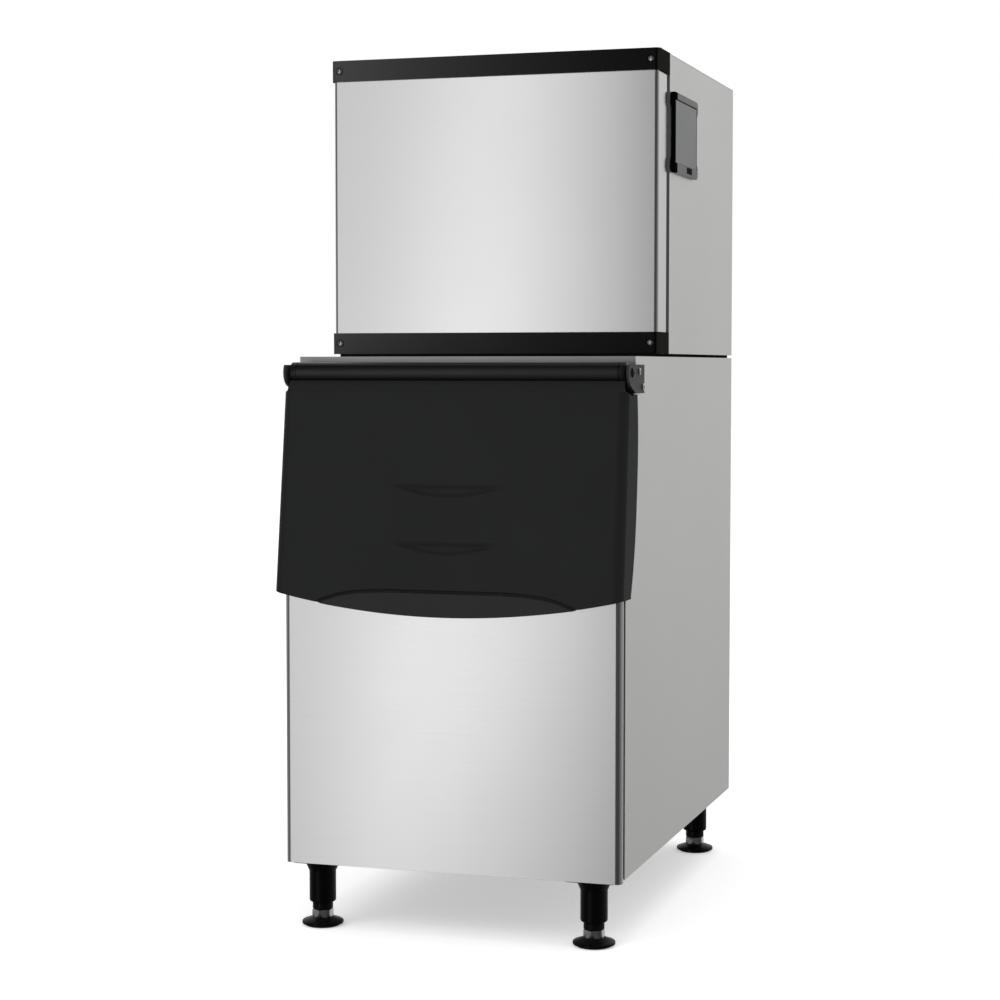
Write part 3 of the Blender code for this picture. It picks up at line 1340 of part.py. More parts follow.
# Ice making
def make_evaporator():
    """Nickel-plated grid with its rail, the ears of the curtain and those of the probe."""
    low = (EVAPORATOR_LEFT, EVAPORATOR_Y, PLATE_BOTTOM)
    high = (EVAPORATOR_RIGHT, EVAPORATOR_Y + EVAPORATOR_THICKNESS, PLATE_TOP + CLEAR)
    plate = add(block(low, high), "evaporator", NICKEL, rounded=False)
    middle = EVAPORATOR_Y + EVAPORATOR_THICKNESS / 2
    start = (-INNER_HALF, middle - RAIL_THICKNESS / 2, PLATE_TOP)
    end = (DIVIDER_X - DIVIDER_SHEET - CLEAR, middle + RAIL_THICKNESS / 2, PLATE_TOP + RAIL_HEIGHT)
    join(plate, block(start, end))
    for x in curtain_ears():
        join_ear(plate, x, EAR_THICKNESS, CURTAIN_AHEAD, CURTAIN_ROD_RADIUS)
    for x in probe_ears():
        join_ear(plate, x, EAR_THICKNESS, PROBE_AHEAD, PROBE_ROD_RADIUS)
    cut(plate, cube_pockets())


def curtain_ears():
    return (
        EVAPORATOR_LEFT - EAR_FROM_PLATE - EAR_THICKNESS,
        EVAPORATOR_RIGHT + EAR_FROM_PLATE,
    )


def probe_ears():
    half = PROBE_WIDTH / 2 + 2 * CLEAR
    return PROBE_X - half - EAR_THICKNESS, PROBE_X + half


def join_ear(plate, x, thickness, ahead, rod_radius):
    """A forward arm on the rail, with a hole for a hanging rod."""
    axis_y = EVAPORATOR_Y - ahead
    start = (x, axis_y - RAIL_HEIGHT / 2, PLATE_TOP + CLEAR)
    end = (x + thickness, EVAPORATOR_Y + EVAPORATOR_THICKNESS / 2, PLATE_TOP + RAIL_HEIGHT - CLEAR)
    join(plate, block(start, end))
    drill = rod(rod_radius + ROD_CLEARANCE, -thickness, 2 * thickness, 16)
    cut(plate, drill, place=(x, axis_y, RAIL_Z), turn=ALONG_X)


def cube_pockets():
    """All the pockets of the grid, as one mesh of separate boxes."""
    width = (EVAPORATOR_RIGHT - EVAPORATOR_LEFT - CUBE_WALL) / CUBE_COLUMNS
    height = (PLATE_TOP - PLATE_BOTTOM - CUBE_WALL) / CUBE_ROWS
    shape = bmesh.new()
    for column in range(CUBE_COLUMNS):
        for row in range(CUBE_ROWS):
            x = EVAPORATOR_LEFT + CUBE_WALL + width * column
            z = PLATE_BOTTOM + CUBE_WALL + height * row
            low = (x, EVAPORATOR_Y - CUBE_DEPTH, z)
            high = (x + width - CUBE_WALL, EVAPORATOR_Y + CUBE_DEPTH, z + height - CUBE_WALL)
            shape.from_mesh(block(low, high))
    mesh = bpy.data.meshes.new("cube_pockets")
    shape.to_mesh(mesh)
    shape.free()
    return mesh


def make_curtain(hinge):
    """Splash curtain that hangs in front of the grid and swings out when the ice drops."""
    axis = (0, EVAPORATOR_Y - CURTAIN_AHEAD, RAIL_Z)
    low = (EVAPORATOR_LEFT, -CURTAIN_SHEET / 2, PLATE_BOTTOM - CURTAIN_BELOW_PLATE - RAIL_Z)
    mesh = block(low, (EVAPORATOR_RIGHT, CURTAIN_SHEET / 2, 0))
    curtain = add(mesh, "ice_curtain", CLEAR_PLASTIC, axis, carrier=hinge)
    reach = EAR_FROM_PLATE + EAR_THICKNESS
    bar = rod(CURTAIN_ROD_RADIUS, EVAPORATOR_LEFT - reach, EVAPORATOR_RIGHT + reach, 12)
    join(curtain, bar, place=axis, turn=ALONG_X)


def make_probe(hinge):
    """Ice thickness probe, hanging between its ears."""
    axis = (PROBE_X, EVAPORATOR_Y - PROBE_AHEAD, RAIL_Z)
    low = (-PROBE_WIDTH / 2, -PROBE_THICKNESS / 2, -PROBE_LENGTH)
    mesh = block(low, (PROBE_WIDTH / 2, PROBE_THICKNESS / 2, 0))
    probe = add(mesh, "thickness_probe", LINER_WHITE, axis, carrier=hinge)
    reach = PROBE_WIDTH / 2 + EAR_THICKNESS
    join(probe, rod(PROBE_ROD_RADIUS, -reach, reach, 12), place=axis, turn=ALONG_X)


def make_trough():
    """Water trough under the grid, on two end legs that stand on the base tray."""
    low = (EVAPORATOR_LEFT, TROUGH_FRONT, TROUGH_TOP - TROUGH_HEIGHT)
    high = (EVAPORATOR_RIGHT, TROUGH_REAR, TROUGH_TOP)
    trough = add(block(low, high), "water_trough", TRAY_GREY, rounded=False)
    inner = [value + TROUGH_WALL for value in low]
    outer = [value - TROUGH_WALL for value in high[:2]]
    cut(trough, block(inner, (*outer, TROUGH_TOP + TROUGH_HEIGHT)))
    rest_front = HEAD_SETBACK + DROP_FROM_FRONT + DROP_DEPTH + CURTAIN_BELOW_PLATE
    for x in (EVAPORATOR_LEFT, EVAPORATOR_RIGHT - TROUGH_LEG):
        start = (x, rest_front, FLOOR_Z)
        join(trough, block(start, (x + TROUGH_LEG, TROUGH_REAR - CLEAR, low[2] + TROUGH_WALL / 2)))


def make_pump():
    """Water pump: a motor on a flange over the trough, and a tube down into the water."""
    seat = TROUGH_TOP + CLEAR
    profile = [
        (0, PUMP_TOP + PUMP_SPIGOT),
        (HOSE_RADIUS, PUMP_TOP + PUMP_SPIGOT),
        (HOSE_RADIUS, PUMP_TOP),
        (PUMP_RADIUS, PUMP_TOP),
        (PUMP_RADIUS, seat + PUMP_FLANGE / 2),
        (PUMP_TUBE_RADIUS, seat + PUMP_FLANGE / 2),
        (PUMP_TUBE_RADIUS, TROUGH_TOP - TROUGH_HEIGHT + 3 * TROUGH_WALL),
        (0, TROUGH_TOP - TROUGH_HEIGHT + 3 * TROUGH_WALL),
    ]
    pump = add(turned(profile), "water_pump", LINER_WHITE, place=(PUMP_X, PUMP_Y, 0))
    half = PUMP_RADIUS + TROUGH_WALL
    start = (PUMP_X - half, PUMP_Y - half, seat)
    join(pump, block(start, (PUMP_X + half, TROUGH_REAR, seat + PUMP_FLANGE)))


def make_distributor():
    """Water tube: up from the pump, over the rail and along the top of the grid."""
    middle = EVAPORATOR_Y + EVAPORATOR_THICKNESS / 2
    z = PLATE_TOP + RAIL_HEIGHT + CLEAR + HOSE_RADIUS
    corners = [
        (PUMP_X, PUMP_Y, PUMP_TOP + PUMP_SPIGOT + CLEAR),
        (PUMP_X, PUMP_Y, z),
        (PUMP_X, middle, z),
        (EVAPORATOR_RIGHT, middle, z),
    ]
    add(tube(rounded_route(corners, PIPE_BEND, 5), HOSE_RADIUS), "distributor_tube", CLEAR_PLASTIC)


# Refrigeration
def make_compressor():
    """Hermetic compressor: domed can on a base plate with rubber feet, and its suction stub."""
    low = FLOOR_Z + COMPRESSOR_FOOT
    base = low + COMPRESSOR_BASE_THICKNESS
    radius = COMPRESSOR_RADIUS
    dome = radius * 0.35
    top = [
        (radius * math.sin(angle), COMPRESSOR_TOP - dome + dome * math.cos(angle))
        for angle in (math.radians(step * 15) for step in range(7))
    ]
    seam = base + COMPRESSOR_HEIGHT * 0.45
    flange = radius + 2 * SHEET
    profile = [
        *top,
        (radius, seam + 4 * SHEET),
        (flange, seam + 3 * SHEET),
        (flange, seam),
        (radius, seam - SHEET),
        (radius, base - COMPRESSOR_BASE_THICKNESS / 2),
        (0, base - COMPRESSOR_BASE_THICKNESS / 2),
    ]
    place = (COMPRESSOR_X, COMPRESSOR_Y, 0)
    can = add(turned(profile, 28), "compressor", COMPRESSOR_BLACK, place=place)
    half = COMPRESSOR_BASE / 2
    join(can, block((-half, -half, low), (half, half, base)), place=place)
    inset = half - COMPRESSOR_FOOT - 2 * SHEET
    for x in (-inset, inset):
        for y in (-inset, inset):
            foot = rod(COMPRESSOR_FOOT, FLOOR_Z, base - SHEET, 16)
            join(can, foot, place=(COMPRESSOR_X + x, COMPRESSOR_Y + y, 0))
    stub = rod(PIPE_RADIUS, COMPRESSOR_TOP - dome, COMPRESSOR_TOP + COMPRESSOR_STUB, 16)
    join(can, stub, place=place)


def suction_y():
    return EVAPORATOR_Y + EVAPORATOR_THICKNESS + PIPE_BEND + PIPE_RADIUS


def suction_z():
    return PLATE_TOP - PIPE_BEND


def make_suction_line():
    """Copper line from the back of the grid, through the divider, down to the compressor."""
    y = suction_y()
    z = suction_z()
    start_x = EVAPORATOR_RIGHT - 2 * PIPE_BEND
    corners = [
        (start_x, EVAPORATOR_Y + EVAPORATOR_THICKNESS + CLEAR, z),
        (start_x, y, z),
        (COMPRESSOR_X, y, z),
        (COMPRESSOR_X, COMPRESSOR_Y, z),
        (COMPRESSOR_X, COMPRESSOR_Y, COMPRESSOR_TOP + COMPRESSOR_STUB + CLEAR),
    ]
    route = rounded_route(corners, PIPE_BEND, 4)
    add(tube(route, PIPE_RADIUS - PIPE_CLEARANCE), "suction_line", COPPER)


def make_condenser():
    """Condenser coil block with vertical fins on both faces."""
    half = CONDENSER_WIDTH / 2
    front = CONDENSER_Y - CONDENSER_THICKNESS / 2
    back = CONDENSER_Y + CONDENSER_THICKNESS / 2
    top = FLOOR_Z + CONDENSER_HEIGHT
    low = (CONDENSER_X - half, front, FLOOR_Z)
    block_mesh = block(low, (CONDENSER_X + half, back, top))
    coil = add(block_mesh, "condenser", FIN_ALUMINIUM, rounded=False)
    shape = bmesh.new()
    pitch = CONDENSER_WIDTH / FIN_COUNT
    for index in range(FIN_COUNT):
        x = CONDENSER_X - half + pitch * (index + 0.5)
        for face in (front, back):
            start = (x - FIN_GAP / 2, face - FIN_DEPTH, FLOOR_Z + FIN_DEPTH)
            end = (x + FIN_GAP / 2, face + FIN_DEPTH, top - FIN_DEPTH)
            shape.from_mesh(block(start, end))
    slots = bpy.data.meshes.new("fin_slots")
    shape.to_mesh(slots)
    shape.free()
    cut(coil, slots)


def make_fan_motor():
    """Fan motor on a cross bar behind the louvres, its shaft towards the condenser."""
    bar = (CONDENSER_X - MOTOR_BAR / 2, HEAD_REAR_IN - MOTOR_BAR_THICKNESS, FAN_Z - MOTOR_BAR_WIDTH / 2)
    end = (CONDENSER_X + MOTOR_BAR / 2, HEAD_REAR_IN, FAN_Z + MOTOR_BAR_WIDTH / 2)
    profile = [
        (0, MOTOR_LENGTH + MOTOR_SHAFT_LENGTH),
        (FAN_SHAFT_RADIUS, MOTOR_LENGTH + MOTOR_SHAFT_LENGTH),
        (FAN_SHAFT_RADIUS, MOTOR_LENGTH),
        (MOTOR_RADIUS * 0.7, MOTOR_LENGTH),
        (MOTOR_RADIUS, MOTOR_LENGTH * 0.85),
        (MOTOR_RADIUS, -MOTOR_BAR_THICKNESS / 2),
        (0, -MOTOR_BAR_THICKNESS / 2),
    ]
    place = (CONDENSER_X, HEAD_REAR_IN - MOTOR_BAR_THICKNESS, FAN_Z)
    motor = add(turned(profile), "fan_motor", COMPRESSOR_BLACK, place, FACING_FRONT)
    join(motor, block(bar, end))


def fan_place():
    """Middle of the fan's hub."""
    y = MOTOR_FRONT - MOTOR_SHAFT_LENGTH + FAN_HUB_LENGTH / 2
    return (CONDENSER_X, y, FAN_Z)


def make_fan(hinge):
    """Axial fan: a hub on the motor's shaft and pitched blades."""
    half = FAN_HUB_LENGTH / 2
    bore = FAN_SHAFT_RADIUS + PIN_CLEARANCE
    profile = [
        (bore, half),
        (FAN_HUB_RADIUS, half),
        (FAN_HUB_RADIUS, -half),
        (bore, -half),
    ]
    fan = add(turned(profile, closed=True), "fan_blade", FIN_ALUMINIUM, fan_place(), FACING_FRONT, hinge)
    for index in range(FAN_BLADES):
        angle = 2 * math.pi * index / FAN_BLADES
        blade = fan_blade_mesh(angle)
        join(fan, blade, place=fan_place(), turn=FACING_FRONT)


def fan_blade_mesh(angle):
    """One blade: a tapered plate, pitched about its own length and turned to its place."""
    outline = [
        (FAN_HUB_RADIUS * 0.8, -0.012),
        (FAN_RADIUS * 0.93, -0.026),
        (FAN_RADIUS, -0.010),
        (FAN_RADIUS, 0.018),
        (FAN_HUB_RADIUS * 0.8, 0.012),
    ]
    mesh = slab([outline], -SHEET, SHEET)
    shape = bmesh.new()
    shape.from_mesh(mesh)
    turn_points(shape, FAN_PITCH, (1, 2))
    turn_points(shape, angle, (0, 1))
    shape.to_mesh(mesh)
    shape.free()
    return mesh


def turn_points(shape, angle, axes):
    """Turn all points of a shape in the plane of two axes."""
    first, second = axes
    for vertex in shape.verts:
        u = vertex.co[first]
        v = vertex.co[second]
        vertex.co[first] = u * math.cos(angle) - v * math.sin(angle)
        vertex.co[second] = u * math.sin(angle) + v * math.cos(angle)


def make_control_box():
    """Electrical box on the machine side of the divider."""
    front = HEAD_SETBACK + CONTROL_BOX_FROM_FRONT
    top = HEAD_TOP - CONTROL_BOX_BELOW_TOP
    low = (DIVIDER_X + CLEAR, front, top - CONTROL_BOX_HEIGHT)
    high = (DIVIDER_X + CLEAR + CONTROL_BOX_WIDTH, front + CONTROL_BOX_DEPTH, top)
    add(block(low, high), "control_box", REAR_STEEL, rounded=False)


def make_inlet_valve():
    """Water inlet valve behind its threaded spigot in the rear panel."""
    place = (VALVE_X, HEAD_REAR_IN, VALVE_Z)
    bore = VALVE_SPIGOT * 0.6
    profile = [
        (bore, SERVICE_REACH + SHEET + CLEAR),
        (VALVE_SPIGOT, SERVICE_REACH + SHEET + CLEAR),
        (VALVE_SPIGOT, -VALVE_BODY / 2),
        (0, -VALVE_BODY / 2),
        (0, 0),
        (bore, 0),
    ]
    valve = add(turned(profile, closed=True), "inlet_valve", VALVE_BLUE, place, ALONG_Y)
    half = VALVE_BODY / 2
    low = (VALVE_X - half, HEAD_REAR_IN - VALVE_BODY * 1.4, VALVE_Z - half)
    join(valve, block(low, (VALVE_X + half, HEAD_REAR_IN - CLEAR, VALVE_Z + half)))


def make_power_gland():
    """Gland for the power lead: a flange outside the rear panel and a nut inside."""
    neck = GLAND_RADIUS - 2 * SHEET
    wide = GLAND_RADIUS + SHEET
    outside = SHEET + 2 * CLEAR
    profile = [
        (GLAND_BORE, SERVICE_REACH * 0.7),
        (neck * 0.9, SERVICE_REACH * 0.7),
        (neck, outside + 4 * SHEET),
        (wide, outside + 4 * SHEET),
        (wide, outside),
        (neck, outside),
        (neck, -CLEAR),
        (wide, -CLEAR),
        (wide, -4 * SHEET),
        (neck, -4 * SHEET),
        (neck, -SERVICE_REACH * 0.6),
        (GLAND_BORE, -SERVICE_REACH * 0.6),
    ]
    place = (GLAND_X, HEAD_REAR_IN, GLAND_Z)
    add(turned(profile, closed=True), "power_gland", BLACK_MOULDING, place, ALONG_Y)


# Build
make_bin_front()
make_bin_sides()
make_bin_rear()
make_base_pan()
make_tub()
make_deck()
make_mouth_frame()
make_baffle()
make_drain()
make_legs()

door_hinge = pivot("door_hinge", (0, PIN_Y, PIN_Z))
make_door(door_hinge)
make_door_tray(door_hinge)
for hand, way in (("left", -1), ("right", 1)):
    make_bracket(hand, way)
    make_hinge_fixings(hand, way)

make_head_front()
make_trim("trim_top", HEAD_TOP - TRIM_HEIGHT)
make_trim("trim_bottom", HEAD_BOTTOM)
make_trim_screws()
make_head_sides()
make_head_top()
make_head_rear()
make_base_tray()
make_divider()

axis_x, axis_z = flap_axis()
make_bezel()
make_flap(pivot("flap_hinge", (axis_x, HATCH_Y, axis_z)))
make_latch(pivot("latch_slide", latch_place()))
make_pocket()
make_rocker(pivot("rocker_hinge", rocker_place()))

make_evaporator()
make_curtain(pivot("curtain_hinge", (0, EVAPORATOR_Y - CURTAIN_AHEAD, RAIL_Z)))
make_probe(pivot("probe_hinge", (PROBE_X, EVAPORATOR_Y - PROBE_AHEAD, RAIL_Z)))
make_trough()
make_pump()
make_distributor()
make_compressor()
make_suction_line()
make_condenser()
make_fan_motor()
make_fan(pivot("fan_axis", fan_place()))
make_control_box()
make_inlet_valve()
make_power_gland()

print("pieces:", len([piece for piece in parts.objects if piece.type == "MESH"]))
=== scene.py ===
# %% [markdown]
# Cube ice machine: an ice-making head on a storage bin.
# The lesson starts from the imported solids, which give every place and size. It keeps those whose
# shape is right, gives them finishes, and models the pieces that the eye goes to again, by hand.

# %% Load the frame
import math

import bmesh
import bpy
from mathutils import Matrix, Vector


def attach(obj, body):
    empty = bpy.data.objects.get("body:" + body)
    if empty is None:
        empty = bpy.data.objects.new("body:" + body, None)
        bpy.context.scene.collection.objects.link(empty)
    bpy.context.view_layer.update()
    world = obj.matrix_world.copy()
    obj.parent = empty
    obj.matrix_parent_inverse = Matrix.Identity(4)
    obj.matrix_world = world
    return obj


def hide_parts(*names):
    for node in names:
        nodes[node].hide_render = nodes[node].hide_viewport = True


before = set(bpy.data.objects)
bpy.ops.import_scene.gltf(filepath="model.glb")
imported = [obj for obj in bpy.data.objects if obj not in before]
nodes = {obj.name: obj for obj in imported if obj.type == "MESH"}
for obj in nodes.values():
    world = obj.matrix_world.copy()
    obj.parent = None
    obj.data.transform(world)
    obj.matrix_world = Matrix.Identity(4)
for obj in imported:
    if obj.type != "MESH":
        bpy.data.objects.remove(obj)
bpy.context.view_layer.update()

# %% [markdown]
# The sizes below are the solids' own, in metres. MIDDLE is how far the bin's front panel stands in
# front of the machine's middle, so a depth measured from that panel becomes a place in the scene.
# SHEET is the thickness of the steel, SEAT the gap between pieces that rest on each other, and PIN
# the middle of the line that the door turns about.

# %% Sizes
MIDDLE = 0.397918
FRONT_HALF = 0.2785
HEAD_FRONT = 0.226 - MIDDLE
BIN_FRONT = -MIDDLE
SHEET = 0.0012
SEAT = 0.0003
PIN = Vector((0, 0.038 - MIDDLE, 0.892))
HEAD_BOTTOM = 0.9225
HEAD_TOP = 1.411
print("head is", round(HEAD_TOP - HEAD_BOTTOM, 4), "m tall")

# %% [markdown]
# Every operator acts on what is selected, and the loaded solids all are. These helpers pick one
# object at a time and choose its faces or edges by their place, as one would click on them.


# %% Helpers for picking
def only(piece):
    """Select and activate one object, and nothing else."""
    if bpy.context.object and bpy.context.object.mode != "OBJECT":
        bpy.ops.object.mode_set(mode="OBJECT")
    bpy.ops.object.select_all(action="DESELECT")
    piece.select_set(True)
    bpy.context.view_layer.objects.active = piece


def named(name):
    """Name the object that an operator has just added."""
    piece = bpy.context.object
    piece.name = name
    piece.data.name = name
    return piece


def pick(piece, kind, test):
    """Enter edit mode with only the elements of one kind selected that pass a test."""
    only(piece)
    bpy.ops.object.mode_set(mode="EDIT")
    bpy.ops.mesh.select_mode(type=kind)
    bpy.ops.mesh.select_all(action="DESELECT")
    grid = bmesh.from_edit_mesh(piece.data)
    for element in {"VERT": grid.verts, "EDGE": grid.edges, "FACE": grid.faces}[kind]:
        if test(element):
            element.select_set(True)
    grid.select_flush_mode()
    bmesh.update_edit_mesh(piece.data)


def done():
    """Leave edit mode."""
    bpy.ops.object.mode_set(mode="OBJECT")


print("picking helpers ready")

# %% [markdown]
# A piece is finished with modifiers: Bevel softens its edges, Solidify gives a surface its wall and
# Boolean cuts one shape with another. All are applied, so the mesh holds what is seen. Smooth
# shading bends the reflections in a flat face beside a small bevel, which shows at once on satin
# steel. Weighted Normal gives the large faces their own direction again.


# %% Helpers for finishing
def apply_all(piece):
    """Apply every modifier of a piece, in order."""
    only(piece)
    for step in list(piece.modifiers):
        bpy.ops.object.modifier_apply(modifier=step.name)


def settle(piece, smooth=35):
    """Put a piece's place into its mesh and shade it."""
    apply_all(piece)
    bpy.ops.object.transform_apply(location=True, rotation=True, scale=True)
    bpy.ops.object.shade_smooth_by_angle(angle=math.radians(smooth))
    return piece


def keep_flat(piece):
    """Let large flat faces keep their own normals, so that only the narrow ones turn."""
    step = piece.modifiers.new("flat_faces", "WEIGHTED_NORMAL")
    step.keep_sharp = True
    apply_all(piece)
    return piece


def soften(piece, width, segments, angle=40):
    """Round the edges sharper than an angle."""
    edge = piece.modifiers.new("soft_edges", "BEVEL")
    edge.width = width
    edge.segments = segments
    edge.limit_method = "ANGLE"
    edge.angle_limit = math.radians(angle)


def wall(piece, thickness):
    """Give a surface a wall that grows inwards."""
    solid = piece.modifiers.new("wall", "SOLIDIFY")
    solid.thickness = thickness
    solid.offset = -1
    solid.use_even_offset = True


def carve(piece, tool, operation="DIFFERENCE"):
    """Cut a piece with a tool, join the two or keep what they share, and remove the tool."""
    step = piece.modifiers.new("carve", "BOOLEAN")
    step.operation = operation
    step.solver = "EXACT"
    step.object = tool
    apply_all(piece)
    bpy.data.objects.remove(tool, do_unlink=True)


def dress(piece, body, slot, look, *replaced):
    """Say which body a piece rides on, which solids it stands for, and its finish; the slot is not
    used.
    """
    piece.data.materials.clear()
    piece.data.materials.append(look)
    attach(piece, body)
    if replaced:
        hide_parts(*replaced)
    return piece


print("finishing helpers ready")

# %% [markdown]
# Every shape starts from one of three: a block, a round bar, or an outline that is spun about an
# axis as on a lathe. Each is made at its size and place.

# %% Block, bar and spun shape
MERGE = 0.00001


def cuboid(name, low, high):
    """A cube primitive at its size and place."""
    middle = [(a + b) / 2 for a, b in zip(low, high)]
    bpy.ops.mesh.primitive_cube_add(size=1, location=middle)
    piece = named(name)
    piece.scale = [b - a for a, b in zip(low, high)]
    bpy.ops.object.transform_apply(location=True, rotation=True, scale=True)
    return piece


def bar(name, radius, length, place, along, sides):
    """A cylinder primitive about its middle, along one axis."""
    turn = {"X": (0, math.pi / 2, 0), "Y": (math.pi / 2, 0, 0), "Z": (0, 0, 0)}[along]
    bpy.ops.mesh.primitive_cylinder_add(
        vertices=sides, radius=radius, depth=length, location=place, rotation=turn
    )
    piece = named(name)
    bpy.ops.object.transform_apply(location=True, rotation=True, scale=True)
    return piece


def spun(name, profile, steps):
    """A profile of (radius, height) points spun about Z."""
    outline = bpy.data.meshes.new(name)
    points = [(radius, 0, height) for radius, height in profile]
    outline.from_pydata(points, [(i, i + 1) for i in range(len(points) - 1)], [])
    piece = bpy.data.objects.new(name, outline)
    bpy.context.scene.collection.objects.link(piece)
    pick(piece, "VERT", lambda vertex: True)
    bpy.ops.mesh.spin(steps=steps, angle=2 * math.pi, center=(0, 0, 0), axis=(0, 0, 1))
    bpy.ops.mesh.select_all(action="SELECT")
    bpy.ops.mesh.remove_doubles(threshold=MERGE)
    bpy.ops.mesh.normals_make_consistent(inside=False)
    done()
    return piece


print("shapes ready")

# %% [markdown]
# Several finishes share the same surface effects: the fine lines of rolled or brushed sheet, the
# stipple of a moulding, and the thin film of dust and wiping marks that any kitchen machine has.
# Each effect is a node group, built once, and it puts out only masks and heights.


# %% Helpers for nodes
def new_group(name, outputs):
    """A node group that takes a place and gives values, with its input and output nodes."""
    group = bpy.data.node_groups.new(name, "ShaderNodeTree")
    group.interface.new_socket("Vector", in_out="INPUT", socket_type="NodeSocketVector")
    for label in outputs:
        group.interface.new_socket(label, in_out="OUTPUT", socket_type="NodeSocketFloat")
    return group, group.nodes.new("NodeGroupInput"), group.nodes.new("NodeGroupOutput")


def link(tree, start, end):
    tree.links.new(start, end)


def noise(tree, vector, scale, detail=2.0, rough=0.5):
    """Soft random values over a surface."""
    made = tree.nodes.new("ShaderNodeTexNoise")
    made.inputs["Scale"].default_value = scale
    made.inputs["Detail"].default_value = detail
    made.inputs["Roughness"].default_value = rough
    link(tree, vector, made.inputs["Vector"])
    return made.outputs["Fac"]


def remap(tree, value, low, high, start=0.0, end=1.0):
    """Turn a range of values into another."""
    made = tree.nodes.new("ShaderNodeMapRange")
    made.inputs["From Min"].default_value = low
    made.inputs["From Max"].default_value = high
    made.inputs["To Min"].default_value = start
    made.inputs["To Max"].default_value = end
    link(tree, value, made.inputs["Value"])
    return made.outputs["Result"]


def times(tree, first, second):
    """Multiply two values."""
    made = tree.nodes.new("ShaderNodeMath")
    made.operation = "MULTIPLY"
    link(tree, first, made.inputs[0])
    link(tree, second, made.inputs[1])
    return made.outputs[0]


def stretch_vector(tree, vector, scale):
    """Squeeze a pattern: a large scale along an axis makes it fine there."""
    made = tree.nodes.new("ShaderNodeMapping")
    made.inputs["Scale"].default_value = scale
    link(tree, vector, made.inputs["Vector"])
    return made.outputs["Vector"]


print("node helpers ready")

# %% [markdown]
# Rolled sheet shows lines that run level, so its noise is squeezed hard along the height. A
# moulding has no direction: it has a fine stipple everywhere, and dust only where it faces up.


# %% Surface effects as node groups
def make_grain_group():
    """Level lines of rolled sheet, and broad soft patches of handling."""
    group, start, end = new_group("sheet_grain", ("Lines", "Patches"))
    vector = start.outputs["Vector"]
    lines = noise(group, stretch_vector(group, vector, (6, 6, 2600)), 1.0, 3.0, 0.6)
    link(group, lines, end.inputs["Lines"])
    patches = noise(group, stretch_vector(group, vector, (1, 1, 0.6)), 4.5, 4.0, 0.55)
    link(group, remap(group, patches, 0.15, 0.85), end.inputs["Patches"])
    return group


def make_stipple_group():
    """Fine stipple of a moulding, its slow unevenness, and dust on what faces up."""
    group, start, end = new_group("mould_stipple", ("Stipple", "Patches", "Dust"))
    vector = start.outputs["Vector"]
    link(group, noise(group, vector, 1500.0, 2.0, 0.6), end.inputs["Stipple"])
    patches = noise(group, vector, 7.0, 3.0)
    link(group, remap(group, patches, 0.3, 0.7), end.inputs["Patches"])
    geometry = group.nodes.new("ShaderNodeNewGeometry")
    parts = group.nodes.new("ShaderNodeSeparateXYZ")
    link(group, geometry.outputs["Normal"], parts.inputs[0])
    up = remap(group, parts.outputs["Z"], 0.3, 1.0)
    motes = remap(group, noise(group, vector, 220.0, 4.0, 0.7), 0.45, 0.75)
    link(group, times(group, up, motes), end.inputs["Dust"])
    return group


GRAIN = make_grain_group()
STIPPLE = make_stipple_group()
print("groups:", [group.name for group in bpy.data.node_groups])

# %% [markdown]
# A finish starts from one Principled BSDF. Its plain numbers are set on its own sockets, and only
# colour, roughness and bump vary over the surface. Both depths below are a few hundredths of a
# millimetre: enough to break up a highlight, and too little to be seen as a shape.

# %% Makers of finishes
GRAIN_DEPTH = 0.00002
STIPPLE_DEPTH = 0.00006


def blank(name, colour, roughness, metallic=0.0, specular=0.5):
    """A material with its plain numbers set."""
    made = bpy.data.materials.new(name)
    made.use_nodes = True
    tree = made.node_tree
    shader = tree.nodes["Principled BSDF"]
    shader.inputs["Base Color"].default_value = (*colour, 1)
    shader.inputs["Roughness"].default_value = roughness
    shader.inputs["Metallic"].default_value = metallic
    shader.inputs["Specular IOR Level"].default_value = specular
    made.diffuse_color = (*colour, 1)
    return made, tree, shader


def object_vector(tree):
    return tree.nodes.new("ShaderNodeTexCoord").outputs["Object"]


def effect(tree, group):
    """A surface effect placed in a material, reading its Object coordinates."""
    made = tree.nodes.new("ShaderNodeGroup")
    made.node_tree = group
    link(tree, object_vector(tree), made.inputs["Vector"])
    return made


def blend_colour(tree, mask, first, second):
    """Mix two colours by a mask."""
    made = tree.nodes.new("ShaderNodeMix")
    made.data_type = "RGBA"
    made.inputs[6].default_value = (*first, 1)
    made.inputs[7].default_value = (*second, 1)
    link(tree, mask, made.inputs[0])
    return made.outputs[2]


def bump(tree, shader, height, strength, distance):
    """Tilt the surface by a pattern of heights."""
    made = tree.nodes.new("ShaderNodeBump")
    made.inputs["Strength"].default_value = strength
    made.inputs["Distance"].default_value = distance
    link(tree, height, made.inputs["Height"])
    link(tree, made.outputs["Normal"], shader.inputs["Normal"])


def shade(colour, factor):
    """A colour made darker or lighter, and never past white."""
    return tuple(min(channel * factor, 1.0) for channel in colour)


def sheet_metal(name, colour, roughness, spread=0.0, uneven=0.05, lines=0.25):
    """Rolled or brushed sheet: fine level lines, and soft patches in the gloss."""
    made, tree, shader = blank(name, colour, roughness, 1.0)
    shader.inputs["Anisotropic"].default_value = spread
    shader.inputs["Anisotropic Rotation"].default_value = 0.25
    grain = effect(tree, GRAIN)
    tone = blend_colour(tree, grain.outputs["Lines"], shade(colour, 0.94), shade(colour, 1.05))
    link(tree, tone, shader.inputs["Base Color"])
    gloss = remap(tree, grain.outputs["Patches"], 0, 1, roughness - uneven, roughness + uneven)
    link(tree, gloss, shader.inputs["Roughness"])
    bump(tree, shader, grain.outputs["Lines"], lines, GRAIN_DEPTH)
    return made


